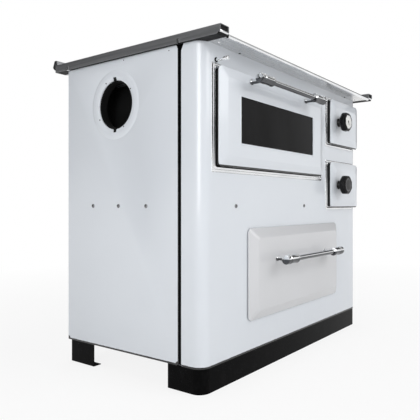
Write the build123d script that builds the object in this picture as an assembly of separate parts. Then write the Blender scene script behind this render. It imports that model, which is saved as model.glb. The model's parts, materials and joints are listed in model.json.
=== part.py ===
from build123d import *

import os

# Enamelled wood cookstove: body, top, oven, firebox, doors, drawer, damper and lift-off rings.
#
# Every piece is drawn from the body's front left corner at floor level: x runs right along the front,
# y runs back from the front panel's face, z runs up. write() moves it so that the origin is at the
# bottom centre of the whole stove. All sizes are millimetres.

# ---------------------------------------------------------------- whole stove
body_width = 880.0  # over the side panels
body_depth = 502.0  # front panel's face to the side panels' rear edges
stove_height = 850.0  # floor to the side rails' top
plinth_height = 60.0
corner_radius = 30.0  # front corners, seen from above
panel_sheet = 1.5  # enamelled panels
inner_sheet = 2.0  # oven, smoke box, deck and runners
casing_sheet = 3.0  # firebox plate
seat_gap = 0.3  # between pieces that are dropped or slid against each other
slide_gap = 0.4  # round the lift-off rings and beside the drawer
pin_play = 0.05  # radial play of a pin or rod in its bearing
over = 1.0  # how far a cutting shape runs past the face that it cuts

# ---------------------------------------------------------------- top
rail_width = 33.0
rail_height = 22.0
rail_overhang_side = 10.0
rail_overhang_front = 61.5
rail_overhang_back = 48.0
rail_nose = (10.5, 8.0)  # bevel under the front end: back, up
rail_sheet = 1.5
rail_edge_radius = 2.0
rail_core_height = 8.0
rail_cap_set_back = 1.0  # cap's face behind the rail's end
rail_cap_depth = 12.5
rail_cap_groove = (1.5, 1.5, 3.5)  # above the bevel, tall, deep
guard_rod_radius = 5.0
guard_rod_set_back = 4.5  # rod's axis behind the side rails' front ends
guard_rod_rise = 1.5  # rod's axis above the side rails' lower edges
top_drop = 1.0  # frame's and hotplate's face below the rails' tops
apron_top_edge = 24.0  # in front of the front panel, where the apron starts to fall
apron_fall = 13.5
apron_return = 14.0  # how far the apron's lower flange runs in behind the front panel
apron_bend = 2.0
hotplate_thickness = 8.0
hotplate_margin = (46.0, 40.0, 60.0)  # frame width at the sides, front and back
hotplate_gap = 1.0  # room for the iron to grow
hotplate_edge = 1.0
hotplate_ledge = 10.0
upstand_rise = 13.0  # above the side rails
upstand_sheet = 1.5
upstand_back = 12.0  # behind the side rails
upstand_seat = 6.5  # front leg's face ahead of the rails' rear ends
upstand_flat = 9.5  # width of the strip's top
upstand_hook = (6.0, 13.0)  # rear lip's bend and tip, below the rails' tops
upstand_tip = 2.5  # rear lip's tip behind the rails
upstand_bend = 3.0

# ---------------------------------------------------------------- lift-off rings, over the firebox
ring_centre_side = 158.0  # from the right side
ring_centre_back = 190.0
ring_radii = (96.0, 68.0, 40.0)  # hole in the hotplate, in the outer ring, in the inner ring
ring_step = 6.0  # width of the ledge that each ring sits on
lifter_slot = (10.0, 14.0, 3.0)  # wide, long, deep
lifter_slot_inset = 10.0  # its end to the lid's centre
lifter_hook = (4.0, 2.0)  # undercut beyond the slot: long, deep

# ---------------------------------------------------------------- panels
seam_front = 65.0  # front panel's return ends here
seam_width = 8.5
seam_notch = 8.0  # corner cut at the top of the seam
lower_corner = 5.0  # corner cut at the panels' lower ends
top_fold = 12.0  # front panel's upper edge, folded back
rear_fold = 14.0  # side panels' rear edge, folded in
lower_fold = 10.0  # side panels' lower edge, folded in
lower_fold_start = 45.0  # behind the seam
post_width = 44.0
post_depth = 13.0
screw_head_radius = 4.6
screw_head_rise = 2.0
side_screw_count = 3
side_screw_inset = 111.0  # first and last screw to the side panel's ends
front_screw_sides = (130.8, 397.0)  # from the left side, from the right side
back_slot_count = 6
back_slot = (9.0, 60.0)  # wide, tall
back_slot_pitch = 90.0
back_slot_rows = (90.0, 270.0)  # lower ends, above the plinth

# ---------------------------------------------------------------- plinth and feet
plinth_sheet = 2.0
plinth_inset = 1.0
plinth_return = 110.0
plinth_flange = 16.0
foot_back = (112.0, 14.0)  # its two ends, in front of the side panels' rear edges
foot_flange = 24.0
foot_bolt_radius = 4.0
foot_bolt_inset = (15.0, 20.0)  # from the foot's outer face, from its ends

# ---------------------------------------------------------------- fire and ash doors, right side
small_bezel_side = 38.0  # frames' right edges to the right side
small_bezel_width = 214.0
small_bezel_height = 166.0
fire_bezel_drop = 20.5  # below the front panel's top
small_bezel_gap = 47.0  # fire door's frame to the ash door's
small_door_inset = (17.0, 6.0)  # inside the frame: at the left, at the top and bottom
small_door_reach = 21.0  # past the frame at the right
small_hinge_inset = 4.0  # pin to the door's right edge
knob_inset = 45.0  # knob's axis to the door's left edge

# ---------------------------------------------------------------- oven
oven_bezel_side = 34.0  # to the left side
oven_bezel_gap = 32.0  # to the fire door's frame
oven_bezel_drop = 44.0  # below the front panel's top
oven_bezel_height = 261.0
oven_door_inset = (14.0, 14.0, 5.0)  # inside the frame: at the sides, bottom and top
window_inset = (77.0, 60.0, 63.0)  # inside the door: at the sides, bottom and top
oven_wall_inset = (31.0, 24.0, 19.0)  # cavity inside the opening: at the sides, bottom and top
oven_cavity_depth = 420.0
oven_flange = 7.0  # beyond the opening
shelf_levels = (50.0, 95.0, 140.0)  # above the oven's floor
shelf_rib = (9.0, 5.0)  # out, tall
shelf_rib_ends = (20.0, 10.0)  # front end to the front panel, rear end to the oven's back
rack_bar = 4.0
rack_bar_count = 9
rack_side_gap = 4.0
shelf_front = 24.0  # rack's and tray's front edges
shelf_back_gap = 20.0
tray_depth = 26.0
tray_rim = (14.0, 12.0)  # at the sides, at the front and back
tray_side_gap = 2.0
tray_sheet = 1.2
stand_width = 30.0
stand_inset = 30.0  # to the oven's walls
stand_y = (60.0, 400.0)

# ---------------------------------------------------------------- doors' build
door_proud = 20.0  # front face in front of the front panel
door_stand_off = 10.0  # back of the pressed front in front of the front panel
door_edge = 3.0  # straight wall before the bevel starts
door_bevel = 26.0
door_corner_radius = 13.0
door_sheet = 1.5
door_sheet_gap = 0.1  # backing sheet inside the pressed front
bezel_width = 13.0
bezel_proud = 3.5
bezel_slope = 1.6
liner_margin = 4.0  # door's inner box to the bezel's opening
liner_reach = 2.0  # inner box's back in front of the panel's face
shield_margin = 14.0  # heat shield to the bezel's opening
shield_reach = 3.0  # shield's back behind the panel's face
gasket_width = 7.0
gasket_inset = (8.0, 1.0)  # inside the inner box: oven door, small doors
glass_thickness = 4.0
glass_lap = 12.0
trim_width = 4.0
trim_lap = 1.0  # over the window's edge
trim_proud = 1.2

# ---------------------------------------------------------------- hinges
hinge_pin_radius = 2.0
knuckle_radius = 3.5
oven_hinge_inset = 25.0  # lug's middle to the side of the oven's opening
oven_hinge_forward = 8.0  # pin in front of the front panel
oven_hinge_lift = 5.0  # pin above the opening's lower edge
oven_lug_width = 5.0
oven_lug_height = 4.8
oven_lug_slot = (10.0, 8.0)  # slot in the door round the lug: below the pin, above it
oven_knuckle_length = 9.0
small_hinge_forward = 6.0
small_hinge_lift = 22.0  # knuckles to the door's top and bottom
small_knuckle_length = 14.0
hinge_leaf = 1.5
hinge_arm = 3.0

# ---------------------------------------------------------------- handles and knobs
handle_stand_off = 44.0  # bar's axis in front of the door's face
handle_length = 345.0
handle_bar_radius = 7.5
ferrule_radius = 13.0
ferrule_length = 58.0
ferrule_chamfer = 2.5
handle_post_radius = 7.0
handle_post_inset = 29.0  # from the handle's end
oven_handle_drop = 19.0  # bar's axis below the oven door's top
drawer_handle_drop = 86.0  # bar's axis below the drawer front's top
knob_radius = 33.0  # to the corners
knob_sides = 8
knob_neck = (15.5, 11.0)  # radius at the door, radius at the head
knob_neck_length = 15.0
knob_head_length = 23.0
knob_edge = 5.0
dial_radius = 24.0
dial_recess = 2.5
dial_thickness = 1.0
dial_ring_width = 2.4
dial_ring_rise = 2.0
pointer = (16.0, 2.2, 0.6)  # long, wide, proud
pointer_shift = 5.0
pointer_turn = -65.0
cap_thickness = 1.6
spindle_radius = 4.0
spindle_back = 9.0  # spindle's end behind the panel's face
latch_reach = 60.0
latch_width = 14.0
latch_thickness = 3.0
rosette_radius = 44.0
rosette_thickness = 2.0
rosette_slot_count = 4
rosette_slot = (16.0, 38.0)  # inner and outer radius
rosette_slot_angle = 34.0
inlet_count = 4
inlet_pitch = 34.0
inlet = (24.0, 1.8)  # wide, deep
inlet_set_back = 1.6  # from the rim's back

# ---------------------------------------------------------------- drawer
drawer_front_side = 180.0  # to the body's sides
drawer_front_lift = 80.5  # above the plinth
drawer_front_drop = 41.0  # below the deck
drawer_front_gap = 2.5  # to the front panel
drawer_opening_lap = 16.0
drawer_box_inset = (26.0, 25.5, 43.0)  # inside the front: at the sides, bottom and top
drawer_box_depth = 410.0
drawer_sheet = 1.2
drawer_flange = 8.0
drawer_flange_lift = 60.0  # above the box's floor
drawer_flange_front = 4.0
runner_height = 10.0

# ---------------------------------------------------------------- damper and flue outlet, left side
damper_across = 51.5
damper_lift = 7.5  # rod's axis above the oven's frame
damper_rod_radius = 4.0
damper_reach = 37.0
damper_grip = (5.2, 16.0)  # radius, length
damper_plate = (40.0, 116.0, 2.0)
damper_plate_shift = 15.0  # behind the smoke box's middle
damper_post = (10.0, 12.0)  # wide, long
damper_post_inset = 12.0  # to the plate's rear edge
damper_bush_wall = 2.2
damper_bush_proud = 1.5
damper_bush_length = 10.0  # behind the panel's face
smoke_box_drop = 15.5  # box's top below the damper rod's axis
smoke_box_height = 216.0
smoke_box_half_depth = 96.6
smoke_box_side = 24.0  # to the left side
smoke_box_rim = (10.0, 8.0)  # round the upper opening: at the sides, at the front and back
flue_back = 301.6
flue_under_top = 4.2  # collar to the smoke box's top
flue_hole_gap = 4.1  # hole in the side panel round the collar's bore
flue_notch = (13.0, 3.5)  # wide, deep
flue_press_radius = 88.0
flue_press_depth = 1.6
flue_press_slope = 4.0
collar_bore_radius = 60.5
collar_wall = 2.0
collar_flange = 12.0

# ---------------------------------------------------------------- firebox and ash chamber
casing_side = 2.0  # to the front panel's curved corner
casing_margin = 29.0  # left wall to the fire door's opening
casing_back = 300.0
smoke_slot_y = (60.0, 240.0)
brick_thickness = 25.0
brick_edge = 1.5
brick_drop = 56.2  # below the casing's top
brick_front_gap = 8.0
grate_lift = 22.5  # above the ash door's opening
grate_thickness = 14.0
grate_hole_margin = 48.0
grate_lap = 12.0
grate_slot_count = 7
grate_slot_share = 0.54  # slot's part of each bar-and-slot step
ash_floor_drop = 0.5  # below the ash door's opening
ash_pan_wall = 1.2
ash_pan_inset = 16.0
ash_pan_front = 20.0
ash_pan_drop = 50.0  # below the top of the ash door's opening
pan_loop = (52.0, 18.0, 7.0)  # wide, tall, out
pan_loop_drop = 12.0
pan_loop_bar = 3.0
deck_drop = 17.0  # below the ash chamber's floor
deck_rim = 24.0
deck_screw_lift = 17.5
deck_rim_gap = 10.0
post_clearance = 4.0  # deck's notch round the corner post

# ---------------------------------------------------------------- worked out from the above
panel_bottom = plinth_height
panel_top = stove_height - rail_height
top_face = stove_height - top_drop
handle_front = door_proud + handle_stand_off + ferrule_radius
rail_inner = rail_width - rail_overhang_side  # x of the left rail's inner face
rail_front = -rail_overhang_front
rail_back = body_depth + rail_overhang_back
knob_face = -door_proud - knob_neck_length - knob_head_length
ring_centre = (body_width - ring_centre_side, ring_centre_back)


def grown(span, amount):
    return (span[0] - amount, span[1] + amount)


def inside(span, low, high):
    """The part of a span that is left between margins at its two ends."""
    return (span[0] + low, span[1] - high)


small_bezel_x = (body_width - small_bezel_side - small_bezel_width, body_width - small_bezel_side)
fire_bezel_z = (panel_top - fire_bezel_drop - small_bezel_height, panel_top - fire_bezel_drop)
ash_bezel_z = (fire_bezel_z[0] - small_bezel_gap - small_bezel_height, fire_bezel_z[0] - small_bezel_gap)
small_door_x = inside(small_bezel_x, small_door_inset[0], -small_door_reach)
fire_door_z = grown(fire_bezel_z, -small_door_inset[1])
ash_door_z = grown(ash_bezel_z, -small_door_inset[1])
fire_knob_rise = sum(fire_door_z) / 2
ash_knob_rise = sum(ash_door_z) / 2
knob_across = small_door_x[0] + knob_inset
small_hinge_across = small_door_x[1] - small_hinge_inset

oven_bezel_x = (oven_bezel_side, small_bezel_x[0] - oven_bezel_gap)
oven_bezel_z = (panel_top - oven_bezel_drop - oven_bezel_height, panel_top - oven_bezel_drop)
oven_opening_x = grown(oven_bezel_x, -bezel_width)
oven_opening_z = grown(oven_bezel_z, -bezel_width)
oven_door_x = grown(oven_bezel_x, -oven_door_inset[0])
oven_door_z = inside(oven_bezel_z, *oven_door_inset[1:])
window_x = grown(oven_door_x, -window_inset[0])
window_z = inside(oven_door_z, *window_inset[1:])
oven_cavity_x = grown(oven_opening_x, -oven_wall_inset[0])
oven_cavity_z = inside(oven_opening_z, *oven_wall_inset[1:])
oven_hinges_across = (oven_opening_x[0] + oven_hinge_inset, oven_opening_x[1] - oven_hinge_inset)
oven_hinge_rise = oven_opening_z[0] + oven_hinge_lift

small_opening_x = grown(small_bezel_x, -bezel_width)
fire_opening_z = grown(fire_bezel_z, -bezel_width)
ash_opening_z = grown(ash_bezel_z, -bezel_width)
casing_x = (small_opening_x[0] - casing_margin, body_width - corner_radius - casing_side)
casing_top = panel_top - panel_sheet - seat_gap
brick_top = casing_top - brick_drop
grate_rise = ash_opening_z[1] + grate_lift
ash_floor_rise = ash_opening_z[0] - ash_floor_drop
deck_rise = ash_floor_rise - deck_drop
panel_screw_rise = deck_rise + deck_screw_lift

drawer_front_x = (drawer_front_side, body_width - drawer_front_side)
drawer_front_z = (plinth_height + drawer_front_lift, deck_rise - drawer_front_drop)
drawer_opening_x = grown(drawer_front_x, -drawer_opening_lap)
drawer_opening_z = grown(drawer_front_z, -drawer_opening_lap)
drawer_box_x = grown(drawer_front_x, -drawer_box_inset[0])
drawer_box_z = inside(drawer_front_z, *drawer_box_inset[1:])

damper_rise = oven_bezel_z[1] + damper_lift
smoke_box_x = (smoke_box_side, oven_cavity_x[0] - inner_sheet - seat_gap)
smoke_box_y = grown((flue_back, flue_back), smoke_box_half_depth)
smoke_box_z = (damper_rise - smoke_box_drop - smoke_box_height, damper_rise - smoke_box_drop)
damper_plate_middle = sum(smoke_box_y) / 2 + damper_plate_shift
damper_plate_y = grown((damper_plate_middle, damper_plate_middle), damper_plate[1] / 2)
flue_rise = smoke_box_z[1] - collar_bore_radius - collar_wall - flue_under_top
flue_hole_radius = collar_bore_radius + flue_hole_gap

side_panel_front = seam_front + seam_width
seam_middle = seam_front + seam_width / 2
front_screws_across = (front_screw_sides[0], body_width - front_screw_sides[1])


# ================================================================ helpers
def write(name, *pieces):
    """Writes the pieces, separate solids of one sub-part, in the stove's own frame."""
    solids = [origin_shift * solid for piece in pieces for solid in piece.solids()]
    whole = solids[0] if len(solids) == 1 else Compound(solids)
    export_step(whole, f"parts/{name}.step")


def block(x, y, z):
    """A block between two corners, each axis given as a pair."""
    size = [high - low for low, high in (x, y, z)]
    middle = [(high + low) / 2 for low, high in (x, y, z)]
    return Pos(*middle) * Box(*size)


def frame_block(x, y, z, width):
    """An upright rectangular tube: a block with a smaller one cut out of its middle."""
    return block(x, y, z) - block(grown(x, -width), grown(y, -width), grown(z, over))


def front_plane(y):
    """A plane that faces the front: its x is the stove's x and its y is the stove's z."""
    return Plane(origin=(0, y, 0), x_dir=(1, 0, 0), z_dir=(0, -1, 0))


def side_plane(x):
    """A plane that faces right: its x is the stove's y and its y is the stove's z."""
    return Plane(origin=(x, 0, 0), x_dir=(0, 1, 0), z_dir=(1, 0, 0))


def front_sketch(x, z, radius=0.0):
    """A rectangle on the front, with rounded corners where a radius is given."""
    width, height = x[1] - x[0], z[1] - z[0]
    shape = RectangleRounded(width, height, radius) if radius else Rectangle(width, height)
    return Pos((x[0] + x[1]) / 2, (z[0] + z[1]) / 2) * shape


def front_slab(x, z, y, radius=0.0):
    """A plate that lies on the front, between the depths y."""
    face = front_plane(y[1]) * front_sketch(x, z, radius)
    return extrude(face, y[1] - y[0])


def front_frame(x, z, y, width):
    """A flat frame that lies on the front."""
    return front_slab(x, z, y) - front_slab(grown(x, -width), grown(z, -width), grown(y, over))


def rod_x(x, y, z, radius):
    return Pos((x[0] + x[1]) / 2, y, z) * Rot(0, 90, 0) * Cylinder(radius, x[1] - x[0])


def rod_y(x, y, z, radius):
    return Pos(x, (y[0] + y[1]) / 2, z) * Rot(90, 0, 0) * Cylinder(radius, y[1] - y[0])


def rod_z(x, y, z, radius):
    return Pos(x, y, (z[0] + z[1]) / 2) * Cylinder(radius, z[1] - z[0])


def bent_sheet(plane, points, thickness, bend, length):
    """A sheet bent along points, its thickness on the left of the path, pulled along the plane's normal."""
    path = FilletPolyline(*points, radius=bend)
    outline = offset(path, amount=thickness, side=Side.LEFT)
    return extrude(plane * make_face(outline), length)


def mirrored(piece):
    """The same piece on the other side of the body."""
    return mirror(piece, Plane.YZ.offset(body_width / 2))


def spaced(span, count):
    """Places spread evenly over a span, its ends included."""
    step = (span[1] - span[0]) / (count - 1)
    return [span[0] + step * n for n in range(count)]


def centred(middle, count, pitch):
    """Places at a pitch, spread evenly about a middle."""
    return [middle + (n - (count - 1) / 2) * pitch for n in range(count)]


def about(middle, width):
    """A span of a width about its middle."""
    return (middle - width / 2, middle + width / 2)


def plan_sketch(inset):
    """The body's outline from above, moved in by inset; square at the back, rounded in front."""
    radius = corner_radius - inset
    shape = RectangleRounded(body_width - 2 * inset, 4 * body_depth, radius)
    return Pos(body_width / 2, 2 * body_depth + inset) * shape


def wrap(inset, thickness, back, z):
    """A sheet that wraps both front corners and ends at y=back on the sides."""
    outer = extrude(Pos(0, 0, z[0]) * plan_sketch(inset), z[1] - z[0])
    inner = extrude(Pos(0, 0, z[0]) * plan_sketch(inset + thickness), z[1] - z[0])
    return (outer - inner) & block(grown((0, body_width), over), (-over, back), z)


# ================================================================ panels and base
def front_panel():
    """The sheet that wraps both front corners, with the openings for the doors and the drawer."""
    panel = wrap(0, panel_sheet, seam_front, (panel_bottom, panel_top))
    fold_x = (corner_radius, body_width - corner_radius)
    panel += block(fold_x, (panel_sheet, top_fold), (panel_top - panel_sheet, panel_top))
    cut_y = (-over, top_fold + over)
    panel -= front_slab(oven_opening_x, oven_opening_z, cut_y)
    panel -= front_slab(small_opening_x, fire_opening_z, cut_y)
    panel -= front_slab(small_opening_x, ash_opening_z, cut_y)
    panel -= front_slab(drawer_opening_x, drawer_opening_z, cut_y)
    panel -= rod_y(damper_across, cut_y, damper_rise, damper_rod_radius + damper_bush_wall)
    corners = seam_corner(seam_front, -1) + lower_corner_cut(seam_front, -1)
    return panel - corners - mirrored(corners)


def seam_corner(y, direction):
    """The triangle cut from a panel's top corner beside the seam."""
    tip = [(y, panel_top - 2 * seam_notch), (y, panel_top), (y + direction * seam_notch, panel_top)]
    return panel_corner(tip)


def lower_corner_cut(y, direction):
    """The triangle cut from a panel's lower corner."""
    low = panel_bottom
    tip = [(y, low + lower_corner), (y, low), (y + direction * lower_corner, low)]
    return panel_corner(tip)


def panel_corner(tip):
    return extrude(side_plane(-over) * make_face(Polyline(*tip, close=True)), panel_sheet + 2 * over)


def side_panel():
    """The left panel without its flue outlet; its rear edge is folded in behind the back panel."""
    height = (panel_bottom, panel_top)
    panel = block((0, panel_sheet), (side_panel_front, body_depth), height)
    panel += block((0, rear_fold), (body_depth - panel_sheet, body_depth), height)
    lower_z = (panel_bottom, panel_bottom + panel_sheet)
    panel += block((0, lower_fold), (side_panel_front + lower_fold_start, body_depth), lower_z)
    return panel - seam_corner(side_panel_front, 1) - lower_corner_cut(side_panel_front, 1)


def side_screws_back():
    return spaced(grown((side_panel_front, body_depth), -side_screw_inset), side_screw_count)


def flue_centre_plane():
    """The plane on the left side whose centre is the flue's, facing left, with y up."""
    return Plane(origin=(0, flue_back, flue_rise), x_dir=(0, -1, 0), z_dir=(-1, 0, 0))


def flue_dish():
    """The pressed disc round the flue, which lies a little inside the panel's face."""
    depth, radius = flue_press_depth, flue_press_radius
    flat = radius - flue_press_slope
    profile = [
        (0, -depth),
        (flat, -depth),
        (radius, 0),
        (radius, -panel_sheet),
        (flat, -depth - panel_sheet),
        (0, -depth - panel_sheet),
    ]
    return revolve(Plane.XZ * make_face(Polyline(*profile, close=True)), Axis.Z)


def flue_hole():
    """The round hole with its two notches."""
    wide, beyond = flue_notch
    deep = 4 * (panel_sheet + flue_press_depth)
    return Cylinder(flue_hole_radius, deep) + Box(wide, 2 * (flue_hole_radius + beyond), deep)


def side_panel_left():
    """The left panel with its pressed disc and the flue's hole."""
    panel = side_panel() - rod_x((-over, panel_sheet + over), flue_back, flue_rise, flue_press_radius)
    return panel + flue_centre_plane() * flue_dish() - flue_centre_plane() * flue_hole()


def back_panel():
    """A plain sheet between the side panels' folds, with two rows of cooling slots."""
    x = grown((0, body_width), -panel_sheet - seat_gap)
    y = (panel_back() - panel_sheet, panel_back())
    panel = block(x, y, (panel_bottom + lower_fold_clearance(), panel_top))
    for low in back_slot_rows:
        z = (plinth_height + low, plinth_height + low + back_slot[1])
        for middle in centred(body_width / 2, back_slot_count, back_slot_pitch):
            panel -= block(about(middle, back_slot[0]), grown(y, over), z)
    return panel


def lower_fold_clearance():
    """From the body's lower edge to the back panel, over the side panels' lower folds."""
    return 2 * panel_sheet


def panel_back():
    """The back panel's rear face, against the side panels' folds."""
    return body_depth - panel_sheet - seat_gap


def inner_back():
    """The rear end of what stands between the front panel and the back panel."""
    return panel_back() - panel_sheet - seat_gap


def corner_post():
    """The black channel that closes the left seam from behind."""
    x = (panel_sheet + seat_gap, panel_sheet + seat_gap + post_depth)
    y = about(seam_middle, post_width)
    z = (panel_bottom + inner_sheet, panel_top - seat_gap)
    hollow = block((x[0] + panel_sheet, x[1] + over), grown(y, -panel_sheet), grown(z, over))
    return block(x, y, z) - hollow


def base_pan():
    """The body's floor, cut out for the side panels' lower folds."""
    inset = panel_sheet + seat_gap
    z = (panel_bottom, panel_bottom + inner_sheet)
    floor = extrude(Pos(0, 0, z[0]) * plan_sketch(inset), inner_sheet)
    pan = floor & block((0, body_width), (0, inner_back()), z)
    fold_z = (panel_bottom - over, panel_bottom + panel_sheet)
    folds = block((-over, lower_fold + 6 * over), (seam_front, body_depth), fold_z)
    return pan - folds - mirrored(folds)


def deck():
    """The shelf that the oven's stand and the ash chamber sit on, its rims screwed to the panels."""
    inset = panel_sheet + seat_gap
    x, y = grown((0, body_width), -inset), (inset, inner_back())
    z = (deck_rise, deck_rise + inner_sheet)
    rim_z = (deck_rise, deck_rise + deck_rim)
    plate = block(x, y, z)
    plate += block((deck_front_rim_start(), casing_x[0] - deck_rim_gap), (y[0], y[0] + inner_sheet), rim_z)
    side_y = (seam_middle + post_width / 2 + post_clearance, y[1])
    side_rim = block((x[0], x[0] + inner_sheet), side_y, rim_z)
    plate += side_rim + mirrored(side_rim)
    notches = deck_corner_cut() + deck_post_notch(z)
    return plate - notches - mirrored(notches)


def deck_front_rim_start():
    """The front rim starts behind the end of the left corner's curve."""
    return corner_radius + deck_rim_gap


def deck_corner_cut():
    """The deck's front corner, cut out square where the front panel curves."""
    z = (deck_rise - over, deck_rise + inner_sheet + over)
    return block((-over, corner_radius), (-over, corner_radius), z)


def deck_post_notch(z):
    y = grown(about(seam_middle, post_width), post_clearance)
    return block((-over, panel_sheet + seat_gap + post_depth + post_clearance), y, grown(z, over))


def plinth():
    """The kickboard that wraps the front, with a flange under the body."""
    skirt = wrap(plinth_inset, plinth_sheet, plinth_return, (0, plinth_height))
    flange_z = (plinth_height - plinth_sheet, plinth_height)
    return skirt + wrap(plinth_inset, plinth_flange, plinth_return, flange_z)


def rear_foot():
    """A bent bracket: web outside, flanges under the body and on the floor."""
    x = (plinth_inset, plinth_inset + plinth_sheet)
    wide = (plinth_inset, plinth_inset + foot_flange)
    y = (body_depth - foot_back[0], body_depth - foot_back[1])
    foot = block(x, y, (0, plinth_height))
    foot += block(wide, y, (0, plinth_sheet))
    foot += block(wide, y, (plinth_height - plinth_sheet, plinth_height))
    bolt_x = plinth_inset + foot_bolt_inset[0]
    for bolt_y in grown(y, -foot_bolt_inset[1]):
        foot -= rod_z(bolt_x, bolt_y, (-over, plinth_sheet + over), foot_bolt_radius)
    return foot


# ================================================================ top
def side_rail():
    """The stainless cover of the left rail: a channel, open below, bevelled under its front end."""
    x = (-rail_overhang_side, rail_inner)
    z = (panel_top, stove_height)
    cover = block(x, (rail_front, rail_back), z)
    cover = fillet(cover.edges().filter_by(Axis.Y).group_by(Axis.Z)[-1], rail_edge_radius)
    hollow_y = (rail_front - over, rail_back - rail_sheet)
    cover -= block(grown(x, -rail_sheet), hollow_y, (z[0] - over, z[1] - rail_sheet))
    return cover - nose_cut(0)


def nose_cut(back):
    """The wedge under a rail's front end; a cap set back by that much is cut in line with it."""
    y, z = rail_front + back, panel_top
    wedge = [
        (y - over, z - over),
        (y + rail_nose[0], z - over),
        (y + rail_nose[0], z),
        (y, z + rail_nose[1]),
        (y - over, z + rail_nose[1]),
    ]
    face = side_plane(-rail_overhang_side - over) * make_face(Polyline(*wedge, close=True))
    return extrude(face, rail_width + 2 * over)


def rail_hollow_x():
    """Across the inside of the left rail's cover, less the seating gap."""
    return grown((-rail_overhang_side, rail_inner), -rail_sheet - seat_gap)


def rail_core():
    """The black steel bar inside a rail, which carries it on the panels."""
    y = (rail_front + rail_cap_set_back + rail_cap_depth + seat_gap, rail_back - rail_sheet - seat_gap)
    return block(rail_hollow_x(), y, (panel_top + seat_gap, panel_top + rail_core_height))


def rail_cap():
    """The polished plug in a rail's front end, in line with its bevel."""
    front = rail_front + rail_cap_set_back
    above, tall, deep = rail_cap_groove
    top = stove_height - rail_sheet - seat_gap
    plug = block(rail_hollow_x(), (front, front + rail_cap_depth), (panel_top, top))
    low = panel_top + rail_nose[1] + above
    groove = block(grown(rail_hollow_x(), over), (front - over, front + deep), (low, low + tall))
    return plug - nose_cut(rail_cap_set_back) - groove


def guard_rod_axis():
    return rail_front + guard_rod_set_back, panel_top + guard_rod_rise


def guard_rod():
    """The rod along the front, seated against the apron between the side rails."""
    y, z = guard_rod_axis()
    return rod_x((rail_inner + seat_gap, body_width - rail_inner - seat_gap), y, z, guard_rod_radius)


def top_frame():
    """The stainless frame round the hotplate, with the apron that falls to the guard rod."""
    x = (rail_inner, body_width - rail_inner)
    opening_x, opening_y = hotplate_opening()
    back = rail_back - rail_sheet
    plate = block(x, (opening_y[0] - over, back), (top_face - panel_sheet, top_face))
    plate -= block(opening_x, opening_y, (panel_top, stove_height))
    rear = block(x, (back - panel_sheet, back), (panel_top, top_face))
    rear += block(x, (body_depth, back), (panel_top, panel_top + panel_sheet))
    return apron(x) + plate + rear + hotplate_well()


def apron(x):
    """The frame's front: it falls from the top to the guard rod and turns back under."""
    y = guard_rod_axis()[0] + guard_rod_radius + seat_gap
    path = [
        (hotplate_opening()[1][0], top_face),
        (-apron_top_edge, top_face),
        (y, top_face - apron_fall),
        (y, panel_top),
        (apron_return, panel_top),
    ]
    return bent_sheet(side_plane(x[0]), path, panel_sheet, apron_bend, x[1] - x[0])


def hotplate_well():
    """The walls that the hotplate drops between, and the ledge that it rests on."""
    x, y = hotplate_opening()
    z = (top_face - hotplate_thickness - panel_sheet, top_face)
    ledge_z = (z[0], z[0] + panel_sheet)
    wall = frame_block(grown(x, panel_sheet), grown(y, panel_sheet), z, panel_sheet)
    return wall + frame_block(x, y, ledge_z, hotplate_ledge)


def hotplate_opening():
    side, front, back = hotplate_margin
    return (side, body_width - side), (front - apron_top_edge, rail_back - back)


def hotplate():
    """The cast-iron cooking plate, in its frame with a little room to grow."""
    x, y = (grown(span, -hotplate_gap) for span in hotplate_opening())
    plate = block(x, y, (top_face - hotplate_thickness, top_face))
    plate = chamfer(plate.edges().group_by(Axis.Z)[-1], hotplate_edge)
    return plate - ring_hole(ring_radii[0])


def ring_hole(radius):
    """A stepped hole: the lower half is narrower and carries the ring."""
    middle = top_face - hotplate_thickness / 2
    hole = rod_z(*ring_centre, (middle, top_face + over), radius)
    return hole + rod_z(*ring_centre, (top_face - hotplate_thickness - over, middle), radius - ring_step)


def ring_blank(radius):
    """A stepped disc that drops into ring_hole(radius)."""
    middle, low = top_face - hotplate_thickness / 2, top_face - hotplate_thickness
    disc = rod_z(*ring_centre, (middle, top_face), radius - slide_gap)
    return disc + rod_z(*ring_centre, (low, middle), radius - ring_step - slide_gap)


def lid():
    """The centre lid, with the slot that the lifter hooks into."""
    wide, long, deep = lifter_slot
    under, low = lifter_hook
    x = about(ring_centre[0], wide)
    end = ring_centre[1] - lifter_slot_inset
    slot = block(x, (end - long, end), (top_face - deep, top_face + over))
    hook = block(x, (end - long - under, end), (top_face - deep - low, top_face - deep))
    return ring_blank(ring_radii[2]) - slot - hook


def rear_upstand():
    """The rolled strip behind the hotplate; its front leg stands on the rails, its back hangs behind."""
    top = stove_height
    face = rail_back - upstand_seat
    crown = top + upstand_rise - upstand_sheet
    path = [
        (face, top + seat_gap),
        (face, crown),
        (face + upstand_flat, crown),
        (rail_back + upstand_back - upstand_sheet, top - upstand_hook[0]),
        (rail_back + upstand_tip, top - upstand_hook[1]),
    ]
    length = body_width + 2 * rail_overhang_side
    return bent_sheet(side_plane(-rail_overhang_side), path, -upstand_sheet, upstand_bend, length)


# ================================================================ pressed fronts
def pan_solid(x, z, inset, back, rim, front):
    """A filled pan: straight rim from back to rim, then a bevel to a smaller flat face at front."""
    radius = door_corner_radius - inset
    outline = grown(x, -inset), grown(z, -inset)
    face = grown(x, -door_bevel - inset), grown(z, -door_bevel - inset)
    low = front_plane(rim) * front_sketch(*outline, radius)
    high = front_plane(front) * front_sketch(*face, radius)
    return front_slab(*outline, (rim, back), radius) + loft([low, high])


def pressed_front(x, z, back):
    """A pressed pan: straight rim, wide bevel, flat face, hollow behind."""
    rim = back - door_edge
    shell = pan_solid(x, z, 0, back, rim, -door_proud)
    hollow_rim = rim + door_sheet * bevel_share()
    return shell - pan_solid(x, z, door_sheet, back + over, hollow_rim, -door_proud + door_sheet)


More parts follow.
